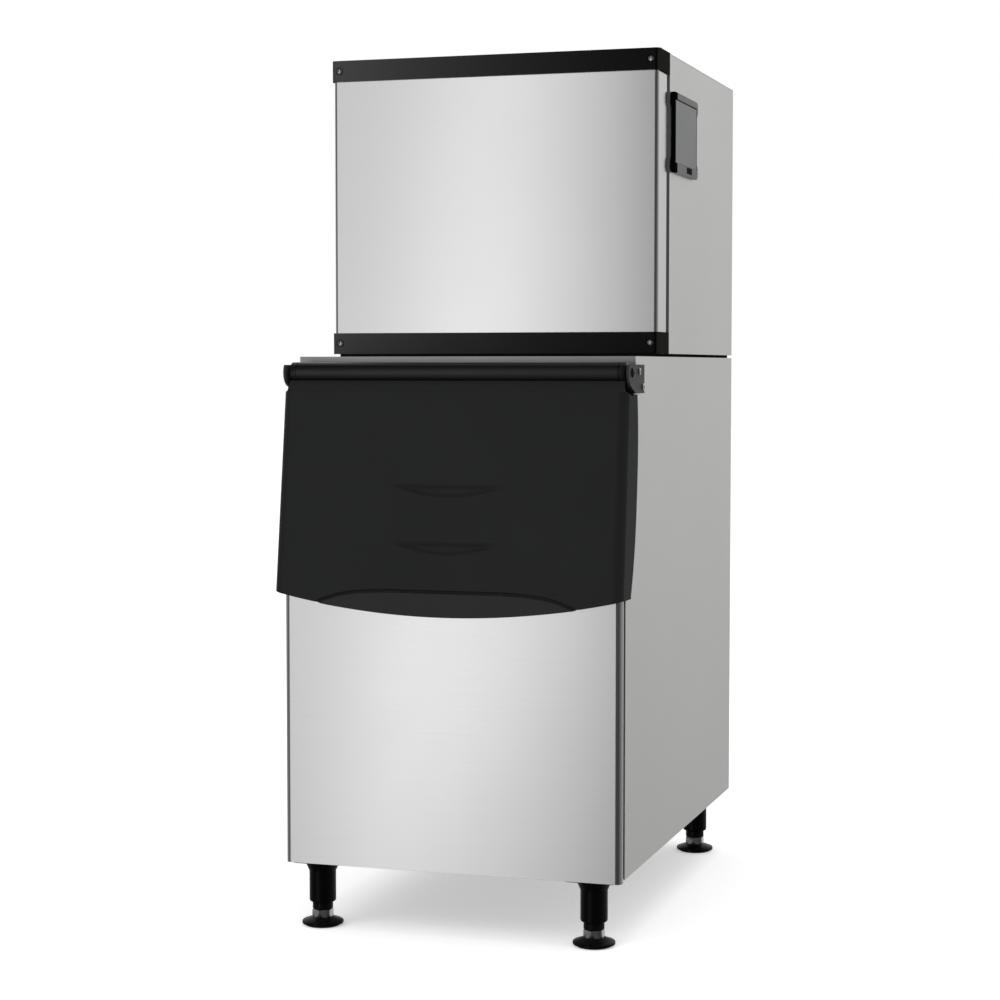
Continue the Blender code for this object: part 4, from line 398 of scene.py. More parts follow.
def moulding(
    name, colour, roughness, specular=0.5, stipple=0.25, dust=0.25, depth=STIPPLE_DEPTH
):
    """Moulded plastic: fine stipple, slow unevenness in the gloss, a film of dust on top."""
    made, tree, shader = blank(name, colour, roughness, 0.0, specular)
    surface = effect(tree, STIPPLE)
    dusty = tuple(channel + dust * (0.35 - channel) for channel in colour)
    tone = blend_colour(tree, surface.outputs["Dust"], colour, dusty)
    link(tree, tone, shader.inputs["Base Color"])
    gloss = remap(tree, surface.outputs["Patches"], 0, 1, roughness - 0.04, roughness + 0.05)
    link(tree, gloss, shader.inputs["Roughness"])
    bump(tree, shader, surface.outputs["Stipple"], stipple, depth)
    return made


print("makers ready")

# %% [markdown]
# The outside of the real machine has few metals. The front panels are satin stainless steel, the
# side panels are the same sheet with a duller face, and the screws and the hexagons are bright.

# %% Finishes of metal
FRONT_STEEL = sheet_metal("front_steel", (0.83, 0.82, 0.82), 0.17, spread=0.5, uneven=0.015)
SIDE_STEEL = sheet_metal("side_steel", (0.85, 0.85, 0.83), 0.36, spread=0.3, uneven=0.03)
REAR_STEEL = sheet_metal("rear_steel", (0.50, 0.51, 0.51), 0.42, uneven=0.08, lines=0.4)
DECK_STEEL = sheet_metal("deck_steel", (0.50, 0.50, 0.49), 0.34, uneven=0.05)
BRIGHT = sheet_metal("bright_plate", (0.78, 0.78, 0.77), 0.16, uneven=0.04, lines=0.1)
NICKEL = sheet_metal("nickel_plate", (0.66, 0.63, 0.57), 0.24, uneven=0.08, lines=0.1)
COPPER = sheet_metal("drawn_copper", (0.72, 0.36, 0.22), 0.28, uneven=0.1, lines=0.2)
ALUMINIUM = sheet_metal("mill_aluminium", (0.70, 0.71, 0.72), 0.38, uneven=0.08, lines=0.4)
print("metals:", len(bpy.data.materials))

# %% [markdown]
# All black pieces are moulded, and each has its own black. The door is one moulding, yet has four
# finishes: its front; its glossier roll, whose darker colour is painted shade; its pull, whose
# paler colour is painted light on a face that turns up; and its sides, which have no gloss at all,
# because at the low angle at which they are seen even a dull gloss would mirror the studio, so
# their paler colour is a painted sheen in its place. The plastics and the paint of the pieces
# inside come from the same maker.

# %% Finishes of mouldings
DOOR_BLACK = moulding("door_black", (0.0142, 0.0147, 0.0154), 0.34, 0.15, stipple=0.08, dust=0.02)
# Painted light and shade: the pull, the roll and the sides share the door's black, made paler or
# darker.
PULL_PAINTED_LIGHT = moulding("pull_painted_light", (0.0225, 0.0225, 0.0228), 0.36, 0.15, stipple=0.08, dust=0.02)
ROLL_PAINTED_SHADE = moulding("roll_painted_shade", (0.0055, 0.0058, 0.0062), 0.24, 0.45, stipple=0.05, dust=0.0)
DOOR_SIDE_PAINTED_SHEEN = moulding("door_side_painted_sheen", (0.041, 0.042, 0.043), 0.55, 0.0, stipple=0.08, dust=0.0)
TRIM_BLACK = moulding("trim_black", (0.003, 0.003, 0.003), 0.26, 0.15, stipple=0.05, dust=0.03)
HIDDEN_BLACK = moulding("hidden_black", (0.016, 0.016, 0.016), 0.60, 0.0, stipple=0.2, dust=0.0)
LEG_BLACK = moulding("leg_black", (0.002, 0.002, 0.002), 0.26, 0.16, stipple=0.1, dust=0.05)
HATCH_BLACK = moulding("hatch_black", (0.008, 0.008, 0.009), 0.22, 0.45, stipple=0.03, dust=0.05)
FLAP_GREY = moulding("flap_grey", (0.175, 0.180, 0.178), 0.36, 0.20, stipple=0.05, dust=0.0)
BRACKET_GREY = moulding("bracket_grey", (0.030, 0.029, 0.028), 0.42, 0.20, stipple=0.3, dust=0.05)
TUB_WHITE = moulding("tub_white", (0.62, 0.65, 0.68), 0.48, specular=0.4, stipple=0.3, dust=0.0)
TRAY_GREY = moulding("tray_grey", (0.20, 0.21, 0.22), 0.52, specular=0.4, stipple=0.4)
FRAME_BLACK = moulding("frame_black", (0.018, 0.018, 0.019), 0.46, specular=0.35, stipple=0.4)
PUMP_WHITE = moulding("pump_white", (0.58, 0.59, 0.60), 0.40, stipple=0.2)
CURTAIN = moulding("curtain_plastic", (0.50, 0.58, 0.62), 0.30, stipple=0.1)
MACHINE_BLACK = moulding("machine_paint", (0.012, 0.012, 0.012), 0.32, stipple=0.6, depth=0.0002)
VALVE_BLUE = moulding("valve_plastic", (0.05, 0.11, 0.28), 0.42, stipple=0.3)
print("finishes:", len(bpy.data.materials))

# %% [markdown]
# Most solids already have their real shape, flat sheet and simple plates, so they only change
# their finish here. A node left in this list is carried over as it is.

# %% Carried-over nodes get their finishes
FINISH_OF = {
    "bin_side_left": SIDE_STEEL,
    "bin_side_right": SIDE_STEEL,
    "head_side_left": SIDE_STEEL,
    "head_side_right": SIDE_STEEL,
    "head_top_panel": SIDE_STEEL,
    "bin_rear_panel": REAR_STEEL,
    "bin_base_pan": REAR_STEEL,
    "head_rear_panel": REAR_STEEL,
    "divider_wall": REAR_STEEL,
    "control_box": REAR_STEEL,
    "bin_deck": DECK_STEEL,
    "ice_baffle": DECK_STEEL,
    "bin_tub": TUB_WHITE,
    "mouth_frame": FRAME_BLACK,
    "head_base_tray": HIDDEN_BLACK,
    "door_tray": TRAY_GREY,
    "control_pocket": TRAY_GREY,
    "water_trough": TRAY_GREY,
    "bin_drain": TRAY_GREY,
    "hatch_latch": HIDDEN_BLACK,
    "power_rocker": HATCH_BLACK,
    "power_gland": FRAME_BLACK,
    "inlet_valve": VALVE_BLUE,
    "evaporator": NICKEL,
    "ice_curtain": CURTAIN,
    "distributor_tube": CURTAIN,
    "thickness_probe": PUMP_WHITE,
    "water_pump": PUMP_WHITE,
    "compressor": MACHINE_BLACK,
    "fan_motor": MACHINE_BLACK,
    "condenser": ALUMINIUM,
    "fan_blade": ALUMINIUM,
    "suction_line": COPPER,
}
for node, look in FINISH_OF.items():
    nodes[node].data.materials.clear()
    nodes[node].data.materials.append(look)
print("carried over:", len(FINISH_OF))


# %% [markdown]
# Moulded and machined solids look wrong with knife-sharp edges. A copy of the solid is merged, its
# flat areas are cleared of their triangles, and a small bevel rounds what is left.


# %% Copies with rounded edges
def eased(node, width, look, slot, body="cabinet", smooth=30):
    """A copy of a solid with softened edges, which stands for it."""
    piece = bpy.data.objects.new(node + "_eased", nodes[node].data.copy())
    bpy.context.scene.collection.objects.link(piece)
    pick(piece, "VERT", lambda vertex: True)
    bpy.ops.mesh.remove_doubles(threshold=MERGE)
    bpy.ops.mesh.select_all(action="SELECT")
    bpy.ops.mesh.dissolve_limited(angle_limit=math.radians(1))
    done()
    soften(piece, width, 2, 45)
    keep_flat(settle(piece, smooth))
    return dress(piece, body, slot, look, node)


eased("hinge_bracket_left", 0.0006, BRACKET_GREY, "bracket_grey")
eased("hinge_bracket_right", 0.0006, BRACKET_GREY, "bracket_grey")
eased("hatch_flap", 0.0004, FLAP_GREY, "hatch_grey", "hatch_flap")
eased("compressor", 0.0012, MACHINE_BLACK, "compressor_black")
eased("fan_blade", 0.0004, ALUMINIUM, "fin_aluminium", "fan")
print("eased copies made")

# %% [markdown]
# The front panels are folded from one sheet: a flat face, a rounded fold at each side and a short
# return. A cube gives the outline, its back, top and bottom faces come away, the two front
# uprights are bevelled round, and Solidify gives the sheet its thickness. The head's folds are
# tighter than the bin's, and its returns longer.

# %% Front panels
BIN_RETURN = 0.014
HEAD_RETURN = 0.059
BIN_CORNER = 0.010
HEAD_CORNER = 0.006
BIN_LOW, BIN_HIGH = 0.105, 0.562
HEM = 0.0003


def folded_panel(name, half, front, depth, low, high, corner, thickness):
    """An open-backed sheet wrapped round two vertical folds."""
    piece = cuboid(name, (-half, front, low), (half, front + depth, high))
    pick(piece, "FACE", lambda face: face.normal.y > 0.9 or abs(face.normal.z) > 0.9)
    bpy.ops.mesh.delete(type="FACE")
    pick(
        piece,
        "EDGE",
        lambda edge: all(abs(v.co.y - front) < 1e-6 for v in edge.verts)
        and abs(edge.verts[0].co.z - edge.verts[1].co.z) > 0.01,
    )
    bpy.ops.mesh.bevel(offset=corner, segments=12, affect="EDGES")
    done()
    wall(piece, thickness)
    return piece


bin_panel = folded_panel(
    "bin_front", FRONT_HALF, BIN_FRONT, BIN_RETURN, BIN_LOW, BIN_HIGH, BIN_CORNER, SHEET
)
soften(bin_panel, HEM, 2)
dress(keep_flat(settle(bin_panel)), "cabinet", "satin_steel", FRONT_STEEL, "bin_front_panel")
head_high = HEAD_TOP - SHEET - SEAT
head_panel = folded_panel(
    "head_front", FRONT_HALF, HEAD_FRONT, HEAD_RETURN, HEAD_BOTTOM, head_high, HEAD_CORNER, SHEET
)
soften(head_panel, HEM, 2)
dress(keep_flat(settle(head_panel)), "cabinet", "satin_steel", FRONT_STEEL, "head_front_panel")
print("front panels:", len(bin_panel.data.polygons), len(head_panel.data.polygons))

# %% [markdown]
# The black trims wrap the front of the head at its top and bottom. They are thick mouldings with
# softened rims, and each has a round recess for a screw near both corners. Their black is glossy,
# and its colour carries a painted sheen that grows lighter towards the left, and their ends, seen
# at a low angle, are matt.

# %% Trims
TRIM_HEIGHT = 0.035
TRIM_WALL = 0.003
TRIM_FRONT = HEAD_FRONT - SEAT - TRIM_WALL
TRIM_HALF = 0.2815
TRIM_RETURN = 0.072
TRIM_CORNER = 0.008
TRIM_END_DEPTH = 0.004
SCREW_X = TRIM_HALF - 0.0145
RECESS_RADIUS = 0.0068
RECESS_DEPTH = 0.0016


def painted_sheen_black(name):
    """The trims' black, with a painted sheen in its colour that grows lighter towards the left."""
    made, tree, shader = blank(name, (0.003, 0.003, 0.003), 0.26, 0.0, 0.15)
    surface = effect(tree, STIPPLE)
    parts = tree.nodes.new("ShaderNodeSeparateXYZ")
    link(tree, object_vector(tree), parts.inputs[0])
    # Painted sheen: the colour is mixed paler towards the left, in place of reflected light.
    left = remap(tree, parts.outputs["X"], TRIM_HALF, -TRIM_HALF)
    painted_sheen = times(tree, left, left)
    tone = blend_colour(tree, painted_sheen, (0.0015, 0.0015, 0.0015), (0.050, 0.050, 0.050))
    link(tree, tone, shader.inputs["Base Color"])
    gloss = remap(tree, surface.outputs["Patches"], 0, 1, 0.23, 0.29)
    link(tree, gloss, shader.inputs["Roughness"])
    bump(tree, shader, surface.outputs["Stipple"], 0.05, STIPPLE_DEPTH)
    return made


TRIM_FACE = painted_sheen_black("trim_painted_sheen")
TRIM_END = moulding("trim_end", (0.016, 0.016, 0.015), 0.50, 0.0, stipple=0.05, dust=0.0)


def make_trim(name, node, low):
    """A folded trim with its two recesses, from a height upwards."""
    high = low + TRIM_HEIGHT
    piece = folded_panel(
        name, TRIM_HALF, TRIM_FRONT, TRIM_RETURN, low, high, TRIM_CORNER, TRIM_WALL
    )
    apply_all(piece)
    for x in (-SCREW_X, SCREW_X):
        place = (x, TRIM_FRONT, low + TRIM_HEIGHT / 2)
        carve(piece, bar("recess", RECESS_RADIUS, 2 * RECESS_DEPTH, place, "Y", 48))
    soften(piece, 0.0008, 3, 50)
    dress(keep_flat(settle(piece)), "cabinet", "black_gloss", TRIM_FACE, node)
    piece.data.materials.append(TRIM_END)
    for face in piece.data.polygons:
        face.material_index = int(abs(face.center.x) > TRIM_HALF - TRIM_END_DEPTH)


make_trim("top_trim", "trim_top", HEAD_TOP - TRIM_HEIGHT)
make_trim("bottom_trim", "trim_bottom", HEAD_BOTTOM)
print("trims made")

# %% [markdown]
# All visible screws are the same kind: a domed head with a cross. One is spun from its profile and
# cut with two crossed blades, then copied to each place. It shows least of all pieces, but its
# bright cross is what tells the eye that the trim and the bracket are screwed on.

# %% One screw
HEAD_RISE = 0.0026
RIM_SHARE = 0.35
CROSS_TURN = 0.5


def make_screw(head, shank, length):
    """A cross-head screw that points down its own Z, its head's seat at height 0."""
    angles = [math.radians(step * 11.25) for step in range(9)]
    dome = [
        (head * math.sin(angle), HEAD_RISE * (RIM_SHARE + (1 - RIM_SHARE) * math.cos(angle)))
        for angle in angles
    ]
    dome[0] = (0, HEAD_RISE)
    profile = dome + [(head * 0.98, 0), (shank, 0), (shank, -length), (0, -length)]
    piece = spun("screw", profile, 48)
    for turn in (0, 1):
        bpy.ops.mesh.primitive_cube_add(size=1, location=(0, 0, HEAD_RISE))
        blade = bpy.context.object
        blade.scale = (head * 1.15, head * 0.26, HEAD_RISE * 1.3)
        blade.rotation_euler = (0, 0, turn * math.pi / 2 + CROSS_TURN)
        carve(piece, blade)
    soften(piece, head * 0.03, 1, 50)
    return settle(piece)


def place_screw(pattern, name, node, place, turn, look=BRIGHT):
    """A copy of a screw, turned and put in its place."""
    piece = bpy.data.objects.new(name, pattern.data.copy())
    bpy.context.scene.collection.objects.link(piece)
    piece.location = place
    piece.rotation_euler = turn
    settle(piece)
    dress(piece, "cabinet", "bright_steel", look, node)


trim_screw = make_screw(0.0048, 0.0018, 0.0032)
bracket_screw = make_screw(0.0055, 0.0020, 0.0056)
hinge_pin = make_screw(0.0075, 0.0040, 0.0320)
print("screw faces:", len(trim_screw.data.polygons))

# %% [markdown]
# The trims' screws face the front and sink into their recesses. The brackets' screws and the two
# hinge pins face outwards, two screws and one pin to a side.

# %% Screws and hinge pins in their places
FACING_FRONT = (math.pi / 2, 0, 0)
BRACKET_OUTSIDE = 0.2843
BRACKET_SCREWS = (("upper", 0.043, 0.002), ("lower", 0.066, -0.022))

screw_depth = TRIM_FRONT + RECESS_DEPTH - SEAT
for row, z in (("top", HEAD_TOP - TRIM_HEIGHT / 2), ("bottom", HEAD_BOTTOM + TRIM_HEIGHT / 2)):
    for hand, way in (("left", -1), ("right", 1)):
        label = f"trim_screw_{row}_{hand}"
        place = (way * SCREW_X, screw_depth, z)
        place_screw(trim_screw, label + "_cross", label, place, FACING_FRONT)
for hand, way in (("left", -1), ("right", 1)):
    seat = way * (BRACKET_OUTSIDE + SEAT)
    turn = (0, way * math.pi / 2, 0)
    for row, back, up in BRACKET_SCREWS:
        label = f"bracket_screw_{row}_{hand}"
        place_screw(bracket_screw, label + "_cross", label, (seat, PIN.y + back, PIN.z + up), turn)
    label = f"hinge_pin_{hand}"
    place_screw(hinge_pin, label + "_cross", label, (seat, PIN.y, PIN.z), turn, look=TRIM_BLACK)
for pattern in (trim_screw, bracket_screw, hinge_pin):
    bpy.data.objects.remove(pattern, do_unlink=True)
print("screws and pins placed")

# %% [markdown]
# The door is the machine's most shaped piece: a thin moulded shell that leans forward to its arched
# lower edge, with side walls, two shallow finger marks and a flared lens to pull by. A fine grid is
# laid over that shape point by point, as one would sculpt it, and Solidify gives it its wall.
# First the shape is written down: how the face leans, where its lower edge runs, and how deep it is
# pressed in at each place.

# %% Door: the shape as functions
WALL = 0.0032
DOOR_TOP_Y = PIN.y - 0.0245
DOOR_TOP_Z = PIN.z - 0.026
CORNER_Z = PIN.z - 0.347
ARC_DROP = 0.032
LEAN = 0.041
TOP_HALF = 0.2844
FLARE = 0.0015
DOOR_CORNER = 0.016
SIDE_DEPTHS = (0.055, 0.0735, 0.052)
MARKS = ((0.108, 0.1715), (0.101, 0.261))
MARK_HEIGHT = 0.024
MARK_DEPTH = 0.0042
MARK_LEDGE = 0.0070
PULL_HALF = 0.215
PULL_TOP = CORNER_Z + 0.0095
PULL_DROP = 0.0235
PULL_GROOVE = 0.0032
GROOVE_WIDTH = 0.0055
PULL_FLARE = 0.0035
TOP_ROUND = 0.005


def ease(value):
    """Smooth step from 0 to 1."""
    value = min(max(value, 0.0), 1.0)
    return value * value * (3 - 2 * value)


def lower_edge(x):
    """Height of the arched lower edge."""
    return CORNER_Z - ARC_DROP * (1 - min(abs(x) / TOP_HALF, 1) ** 2)


def face_y(z):
    """Depth of the leaning face."""
    return DOOR_TOP_Y - LEAN * (DOOR_TOP_Z - z) / (DOOR_TOP_Z - CORNER_Z)


def finger_mark(x, z):
    """Depth of the two crescents: they deepen from a level top and end at an arched ledge."""
    for half, below in MARKS:
        top = PIN.z - below
        height = MARK_HEIGHT * (1 - (x / half) ** 2)
        if abs(x) < half and top - height < z < top:
            deepened = ease((top - z) / (0.5 * MARK_HEIGHT))
            return MARK_DEPTH * deepened * ease((z - top + height) / MARK_LEDGE)
    return 0.0


def pull_top(x):
    """Height of the line that bounds the pull, which falls towards both its ends."""
    return PULL_TOP - PULL_DROP * (abs(x) / PULL_HALF) ** 5


def pull_lens(x, z):
    """Relief of the pull: a groove round its top, then a flare, and both fade at its ends."""
    top = pull_top(x)
    below = top - z
    if below <= 0 or abs(x) > PULL_HALF:
        return 0.0
    from_end = 1 - (x / PULL_HALF) ** 2
    reach = max(top - lower_edge(x), 0.004)
    groove = PULL_GROOVE * math.sin(math.pi * min(below / GROOVE_WIDTH, 1.0)) ** 0.7
    flared = PULL_FLARE * min(max(below - 0.6 * GROOVE_WIDTH, 0) / reach, 1.0)
    return groove * ease(from_end * 30) - flared * ease(from_end * 5)


print("lens top at", round(PULL_TOP, 4))

# %% [markdown]
# Rows of the grid follow the edges that must stay crisp, so they lie closer together there. The
# last rows bend with the arched lower edge.


# %% Door: rows and columns of the grid
def spread(start, end, steps):
    """Even steps from one value to another, both ends included."""
    return [start + (end - start) * step / steps for step in range(steps + 1)]


def door_rows():
    """Heights of the grid's rows, from the top, each with its share of the arched edge."""
    rows = spread(DOOR_TOP_Z, DOOR_TOP_Z - TOP_ROUND, 6)
    for _, below in MARKS:
        top = PIN.z - below
        rows += spread(rows[-1], top + 0.0015, 14)[1:]
        rows += spread(top + 0.0010, top - 0.0005, 5)
        rows += spread(top - 0.0015, top - MARK_HEIGHT - 0.001, 26)
    rows += spread(rows[-1], PULL_TOP + 0.0005, 12)[1:]
    rows += spread(PULL_TOP, PULL_TOP - 0.003, 6)
    last = rows[-1]
    made = [(z, 0.0) for z in rows]
    return made + [(last, share) for share in spread(0, 1, 40)[1:]]


def door_columns():
    """Places across the grid: along a side wall, round its corner, across the front, and back."""
    walls = [("wall", part) for part in spread(1, 0, 8)[:-1]]
    corner = [("corner", part) for part in spread(0, 1, 12)[:-1]]
    front = [("front", part) for part in spread(0, 1, 200)]
    other_corner = [("far_corner", part) for part in spread(0, 1, 12)[1:]]
    other_wall = [("far_wall", part) for part in spread(0, 1, 8)[1:]]
    return walls + corner + front + other_corner + other_wall


print("rows:", len(door_rows()), "columns:", len(door_columns()))

# %% [markdown]
# A Grid primitive has the right number of rows and columns, and each of its points is moved to its
# place on the door. Then Solidify makes the wall and Bevel rounds its rims.


# %% Door: the grid
def door_point(row, column):
    """Where one point of the grid lies. The side walls are deepest halfway down."""
    level, drop = row
    share = (DOOR_TOP_Z - level) / (DOOR_TOP_Z - CORNER_Z)
    half = TOP_HALF + FLARE * min(share, 1)
    end = SIDE_DEPTHS[0] if share < 0.5 else SIDE_DEPTHS[2]
    depth = SIDE_DEPTHS[1] + (end - SIDE_DEPTHS[1]) * min(abs(2 * share - 1), 1) ** 2.5
    kind, part = column
    flat = half - DOOR_CORNER
    angle = part * math.pi / 2
    if kind in ("wall", "far_wall"):
        x, back = half, DOOR_CORNER + (depth - DOOR_CORNER) * part
    elif kind == "corner":
        x, back = flat + DOOR_CORNER * math.cos(angle), DOOR_CORNER * (1 - math.sin(angle))
    elif kind == "far_corner":
        x, back = flat + DOOR_CORNER * math.sin(angle), DOOR_CORNER * (1 - math.cos(angle))
    else:
        x, back = flat * (2 * part - 1), 0.0
    if kind in ("wall", "corner"):
        x = -x
    z = level + drop * (lower_edge(x) - level)
    y = face_y(z) + back
    if kind == "front":
        y += finger_mark(x, z) + pull_lens(x, z)
    from_top = DOOR_TOP_Z - z
    if from_top < TOP_ROUND:
        y += TOP_ROUND - math.sqrt(TOP_ROUND**2 - (TOP_ROUND - from_top) ** 2)
    return x, y, z


rows, columns = door_rows(), door_columns()
bpy.ops.mesh.primitive_grid_add(
    x_subdivisions=len(columns) - 1, y_subdivisions=len(rows) - 1, size=1
)
door = named("door_moulding")
for index, vertex in enumerate(door.data.vertices):
    row = len(rows) - 1 - index // len(columns)
    vertex.co = door_point(rows[row], columns[index % len(columns)])
door.data.update()
wall(door, WALL)
soften(door, 0.0009, 3, 60)
apply_all(door)
print("door grid:", len(rows), "rows by", len(columns), "columns")

# %% [markdown]
# Along its top the door ends in a round roll that turns on the hinge pins, joined to the shell by a
# narrow web that leaves a shadowed groove. The side walls are cut back to swing clear of the
# brackets.

# %% Door: roll, web and cut-outs
ROLL_RADIUS = 0.0165
ROLL_HALF = 0.2765
NOTCH_RADIUS = 0.0355
NOTCH_LENGTH = 0.0394
NOTCH_X = ROLL_HALF + 0.02
CLEAR_LOW = Vector((ROLL_HALF + SEAT, PIN.y, PIN.z - 0.0335))
CLEAR_HIGH = Vector((0.300, PIN.y + 0.16, PIN.z + 0.03))
WEB_LOW = (-ROLL_HALF, DOOR_TOP_Y + 0.0008, DOOR_TOP_Z - 0.0058)
WEB_HIGH = (ROLL_HALF, DOOR_TOP_Y + 0.0038, DOOR_TOP_Z - 0.0015)
WEB_TO_ROLL = (0, 0.0098, 0.0150)
BORE_RADIUS = 0.0043
BORE_LENGTH = 0.050
RING_FROM_END = 0.011
RING_HALF = 0.0007
RING_FLOOR = ROLL_RADIUS - 0.0010
RING_OUTSIDE = ROLL_RADIUS + 0.002
RING = (
    (RING_OUTSIDE, RING_HALF), (RING_OUTSIDE, -RING_HALF), (RING_FLOOR, -RING_HALF),
    (RING_FLOOR, RING_HALF), (RING_OUTSIDE, RING_HALF),
)

for way in (-1, 1):
    carve(door, bar("notch", NOTCH_RADIUS, NOTCH_LENGTH, (way * NOTCH_X, PIN.y, PIN.z), "X", 96))
    low, high = sorted((way * CLEAR_LOW.x, way * CLEAR_HIGH.x))
    carve(door, cuboid("clear", (low, *CLEAR_LOW.yz), (high, *CLEAR_HIGH.yz)))

web = cuboid("web", WEB_LOW, WEB_HIGH)
pick(web, "FACE", lambda face: face.normal.z > 0.9)
bpy.ops.mesh.extrude_region_move(TRANSFORM_OT_translate={"value": WEB_TO_ROLL})
done()
roll = bar("roll", ROLL_RADIUS, 2 * ROLL_HALF, PIN, "X", 96)
soften(roll, 0.0012, 3, 50)
apply_all(roll)
carve(roll, web, "UNION")
for way in (-1, 1):
    carve(roll, bar("bore", BORE_RADIUS, BORE_LENGTH, (way * ROLL_HALF, PIN.y, PIN.z), "X", 32))
    groove = spun("groove", RING, 96)
    groove.rotation_euler = (0, math.pi / 2, 0)
    groove.location = (way * (ROLL_HALF - RING_FROM_END), PIN.y, PIN.z)
    carve(roll, groove)
carve(door, roll, "UNION")
dress(settle(door, 40), "door", "black_moulding", DOOR_BLACK, "door_shell")
print("door faces:", len(door.data.polygons))

# %% [markdown]
# The door is one moulding, but its parts don't shine alike. Each face gets one of four finishes by
# where it lies and where it points: the roll by its distance from the pin, the sides by their
# direction, the pull by its place under the line that bounds it, and the front by what is left. The
# roll's darker black is painted shade, and the paler blacks of the pull and the sides are painted
# light.

# %% Door: four finishes on one piece
ON_FRONT, ON_ROLL, ON_SIDE, ON_PULL = 0, 1, 2, 3
NEAR = 0.0003
SIDE_FACING = 0.985
PULL_FACING = -0.6


def door_finish(face):
    """Number of the finish that a face of the door gets."""
    x, y, z = face.center
    from_pin = math.hypot(y - PIN.y, z - PIN.z)
    if from_pin < ROLL_RADIUS + NEAR and abs(x) < ROLL_HALF + NEAR:
        return ON_ROLL
    if abs(face.normal.x) > SIDE_FACING and abs(x) > TOP_HALF - 2 * NEAR:
        return ON_SIDE
    under_top = pull_top(x) - z > 0.7 * GROOVE_WIDTH
    if face.normal.y < PULL_FACING and abs(x) < PULL_HALF and under_top:
        return ON_PULL
    return ON_FRONT


for look in (ROLL_PAINTED_SHADE, DOOR_SIDE_PAINTED_SHEEN, PULL_PAINTED_LIGHT):
    door.data.materials.append(look)
for face in door.data.polygons:
    face.material_index = door_finish(face)
print("roll faces:", sum(face.material_index == ON_ROLL for face in door.data.polygons))

# %% [markdown]
# Each leg is a flared black sleeve on a mounting plate. Below it stands a levelling foot: a neck, a
# bright hexagon for the spanner and a black disc. The foot's solid is one node, and here its
# metal and its moulded parts are two pieces, so that each has its own finish. The sleeve comes
# first: it is spun from its outline, and its plate is a block with rounded corners.

# %% Legs: the sleeve
PLATE_LOW = 0.1037
SLEEVE_LOW = 0.0388
BORE_TOP = 0.0908


def make_sleeve():
    """Flared collar and tapered sleeve, with the plate joined on top."""
    profile = [
        (0, PLATE_LOW + 0.003),
        (0.028, PLATE_LOW + 0.003),
        (0.028, PLATE_LOW - 0.0012),
        (0.0272, PLATE_LOW - 0.0026),
        (0.0222, PLATE_LOW - 0.0138),
        (0.0215, PLATE_LOW - 0.0158),
        (0.0215, SLEEVE_LOW + 0.0030),
        (0.0209, SLEEVE_LOW + 0.0010),
        (0.0196, SLEEVE_LOW),
        (0.0086, SLEEVE_LOW),
        (0.0086, BORE_TOP),
        (0, BORE_TOP),
    ]
    sleeve = spun("sleeve", profile, 72)
    plate = cuboid("plate", (-0.041, -0.030, PLATE_LOW), (0.041, 0.030, PLATE_LOW + 0.006))
    pick(plate, "EDGE", lambda edge: abs(edge.verts[0].co.z - edge.verts[1].co.z) > 0.001)
    bpy.ops.mesh.bevel(offset=0.008, segments=6, affect="EDGES")
    done()
    carve(sleeve, plate, "UNION")
    soften(sleeve, 0.0005, 2, 50)
    return settle(sleeve)


sleeve = make_sleeve()
print("sleeve faces:", len(sleeve.data.polygons))

# %% [markdown]
# The foot's outlines are lists of (radius, height), from the middle outwards and back. The
# hexagon's chamfers come from a turned cone: what the nut and the cone share is the chamfered nut.

# %% Legs: the foot
DISC = (
    (0, 0.0136), (0.0160, 0.0136), (0.0178, 0.0131), (0.0325, 0.0078), (0.0335, 0.0066),
    (0.0335, 0.0036), (0.0330, 0.0030), (0.0284, 0.0030), (0.0280, 0.0026),
    (0.0280, 0.0004), (0.0276, 0), (0, 0),
)
NECK = (
    (0, 0.0385), (0.0155, 0.0385), (0.0165, 0.0375), (0.0165, 0.0275), (0.0155, 0.0262),
    (0, 0.0262),
)
CONE = (
    (0, 0.0260), (0.0158, 0.0260), (0.0180, 0.0250), (0.0180, 0.0148), (0.0158, 0.0137),
    (0, 0.0137),
)
STEM = ((0, 0.0785), (0.0070, 0.0785), (0.0082, 0.0772), (0.0082, 0.0386), (0, 0.0386))
NUT_RADIUS, NUT_LENGTH, NUT_MIDDLE = 0.01732, 0.0124, 0.01985


def make_disc():
    """Neck and disc of the foot, the moulded parts."""
    disc = spun("disc", DISC, 72)
    neck = spun("neck", NECK, 64)
    only(disc)
    neck.select_set(True)
    bpy.ops.object.join()
    return settle(disc)


def make_hexagon():
    """Hexagon and stem of the foot, the metal parts."""
    nut = bar("nut", NUT_RADIUS, NUT_LENGTH, (0, 0, NUT_MIDDLE), "Z", 6)
    carve(nut, spun("cone", CONE, 64), "INTERSECT")
    soften(nut, 0.0003, 1, 50)
    apply_all(nut)
    stem = spun("stem", STEM, 40)
    only(nut)
    stem.select_set(True)
    bpy.ops.object.join()
    return settle(nut)


disc, hexagon = make_disc(), make_hexagon()
print("foot faces:", len(disc.data.polygons) + len(hexagon.data.polygons))

# %% [markdown]
# What repeats is modelled once. Each leg gets copies with meshes of their own, moved to its corner.

# %% Legs: copies in their places
LEG_X = 0.227
LEG_FRONT = 0.032 - MIDDLE
LEG_REAR = 0.760 - MIDDLE
LEG_PLACES = {
    "front_left": (-LEG_X, LEG_FRONT),
    "front_right": (LEG_X, LEG_FRONT),
    "rear_left": (-LEG_X, LEG_REAR),
    "rear_right": (LEG_X, LEG_REAR),
}


def moved_copy(pattern, name, x, y):
    """A copy of a pattern, moved over the floor."""
    piece = bpy.data.objects.new(name, pattern.data.copy())
    bpy.context.scene.collection.objects.link(piece)
    piece.location = (x, y, 0)
    return settle(piece)


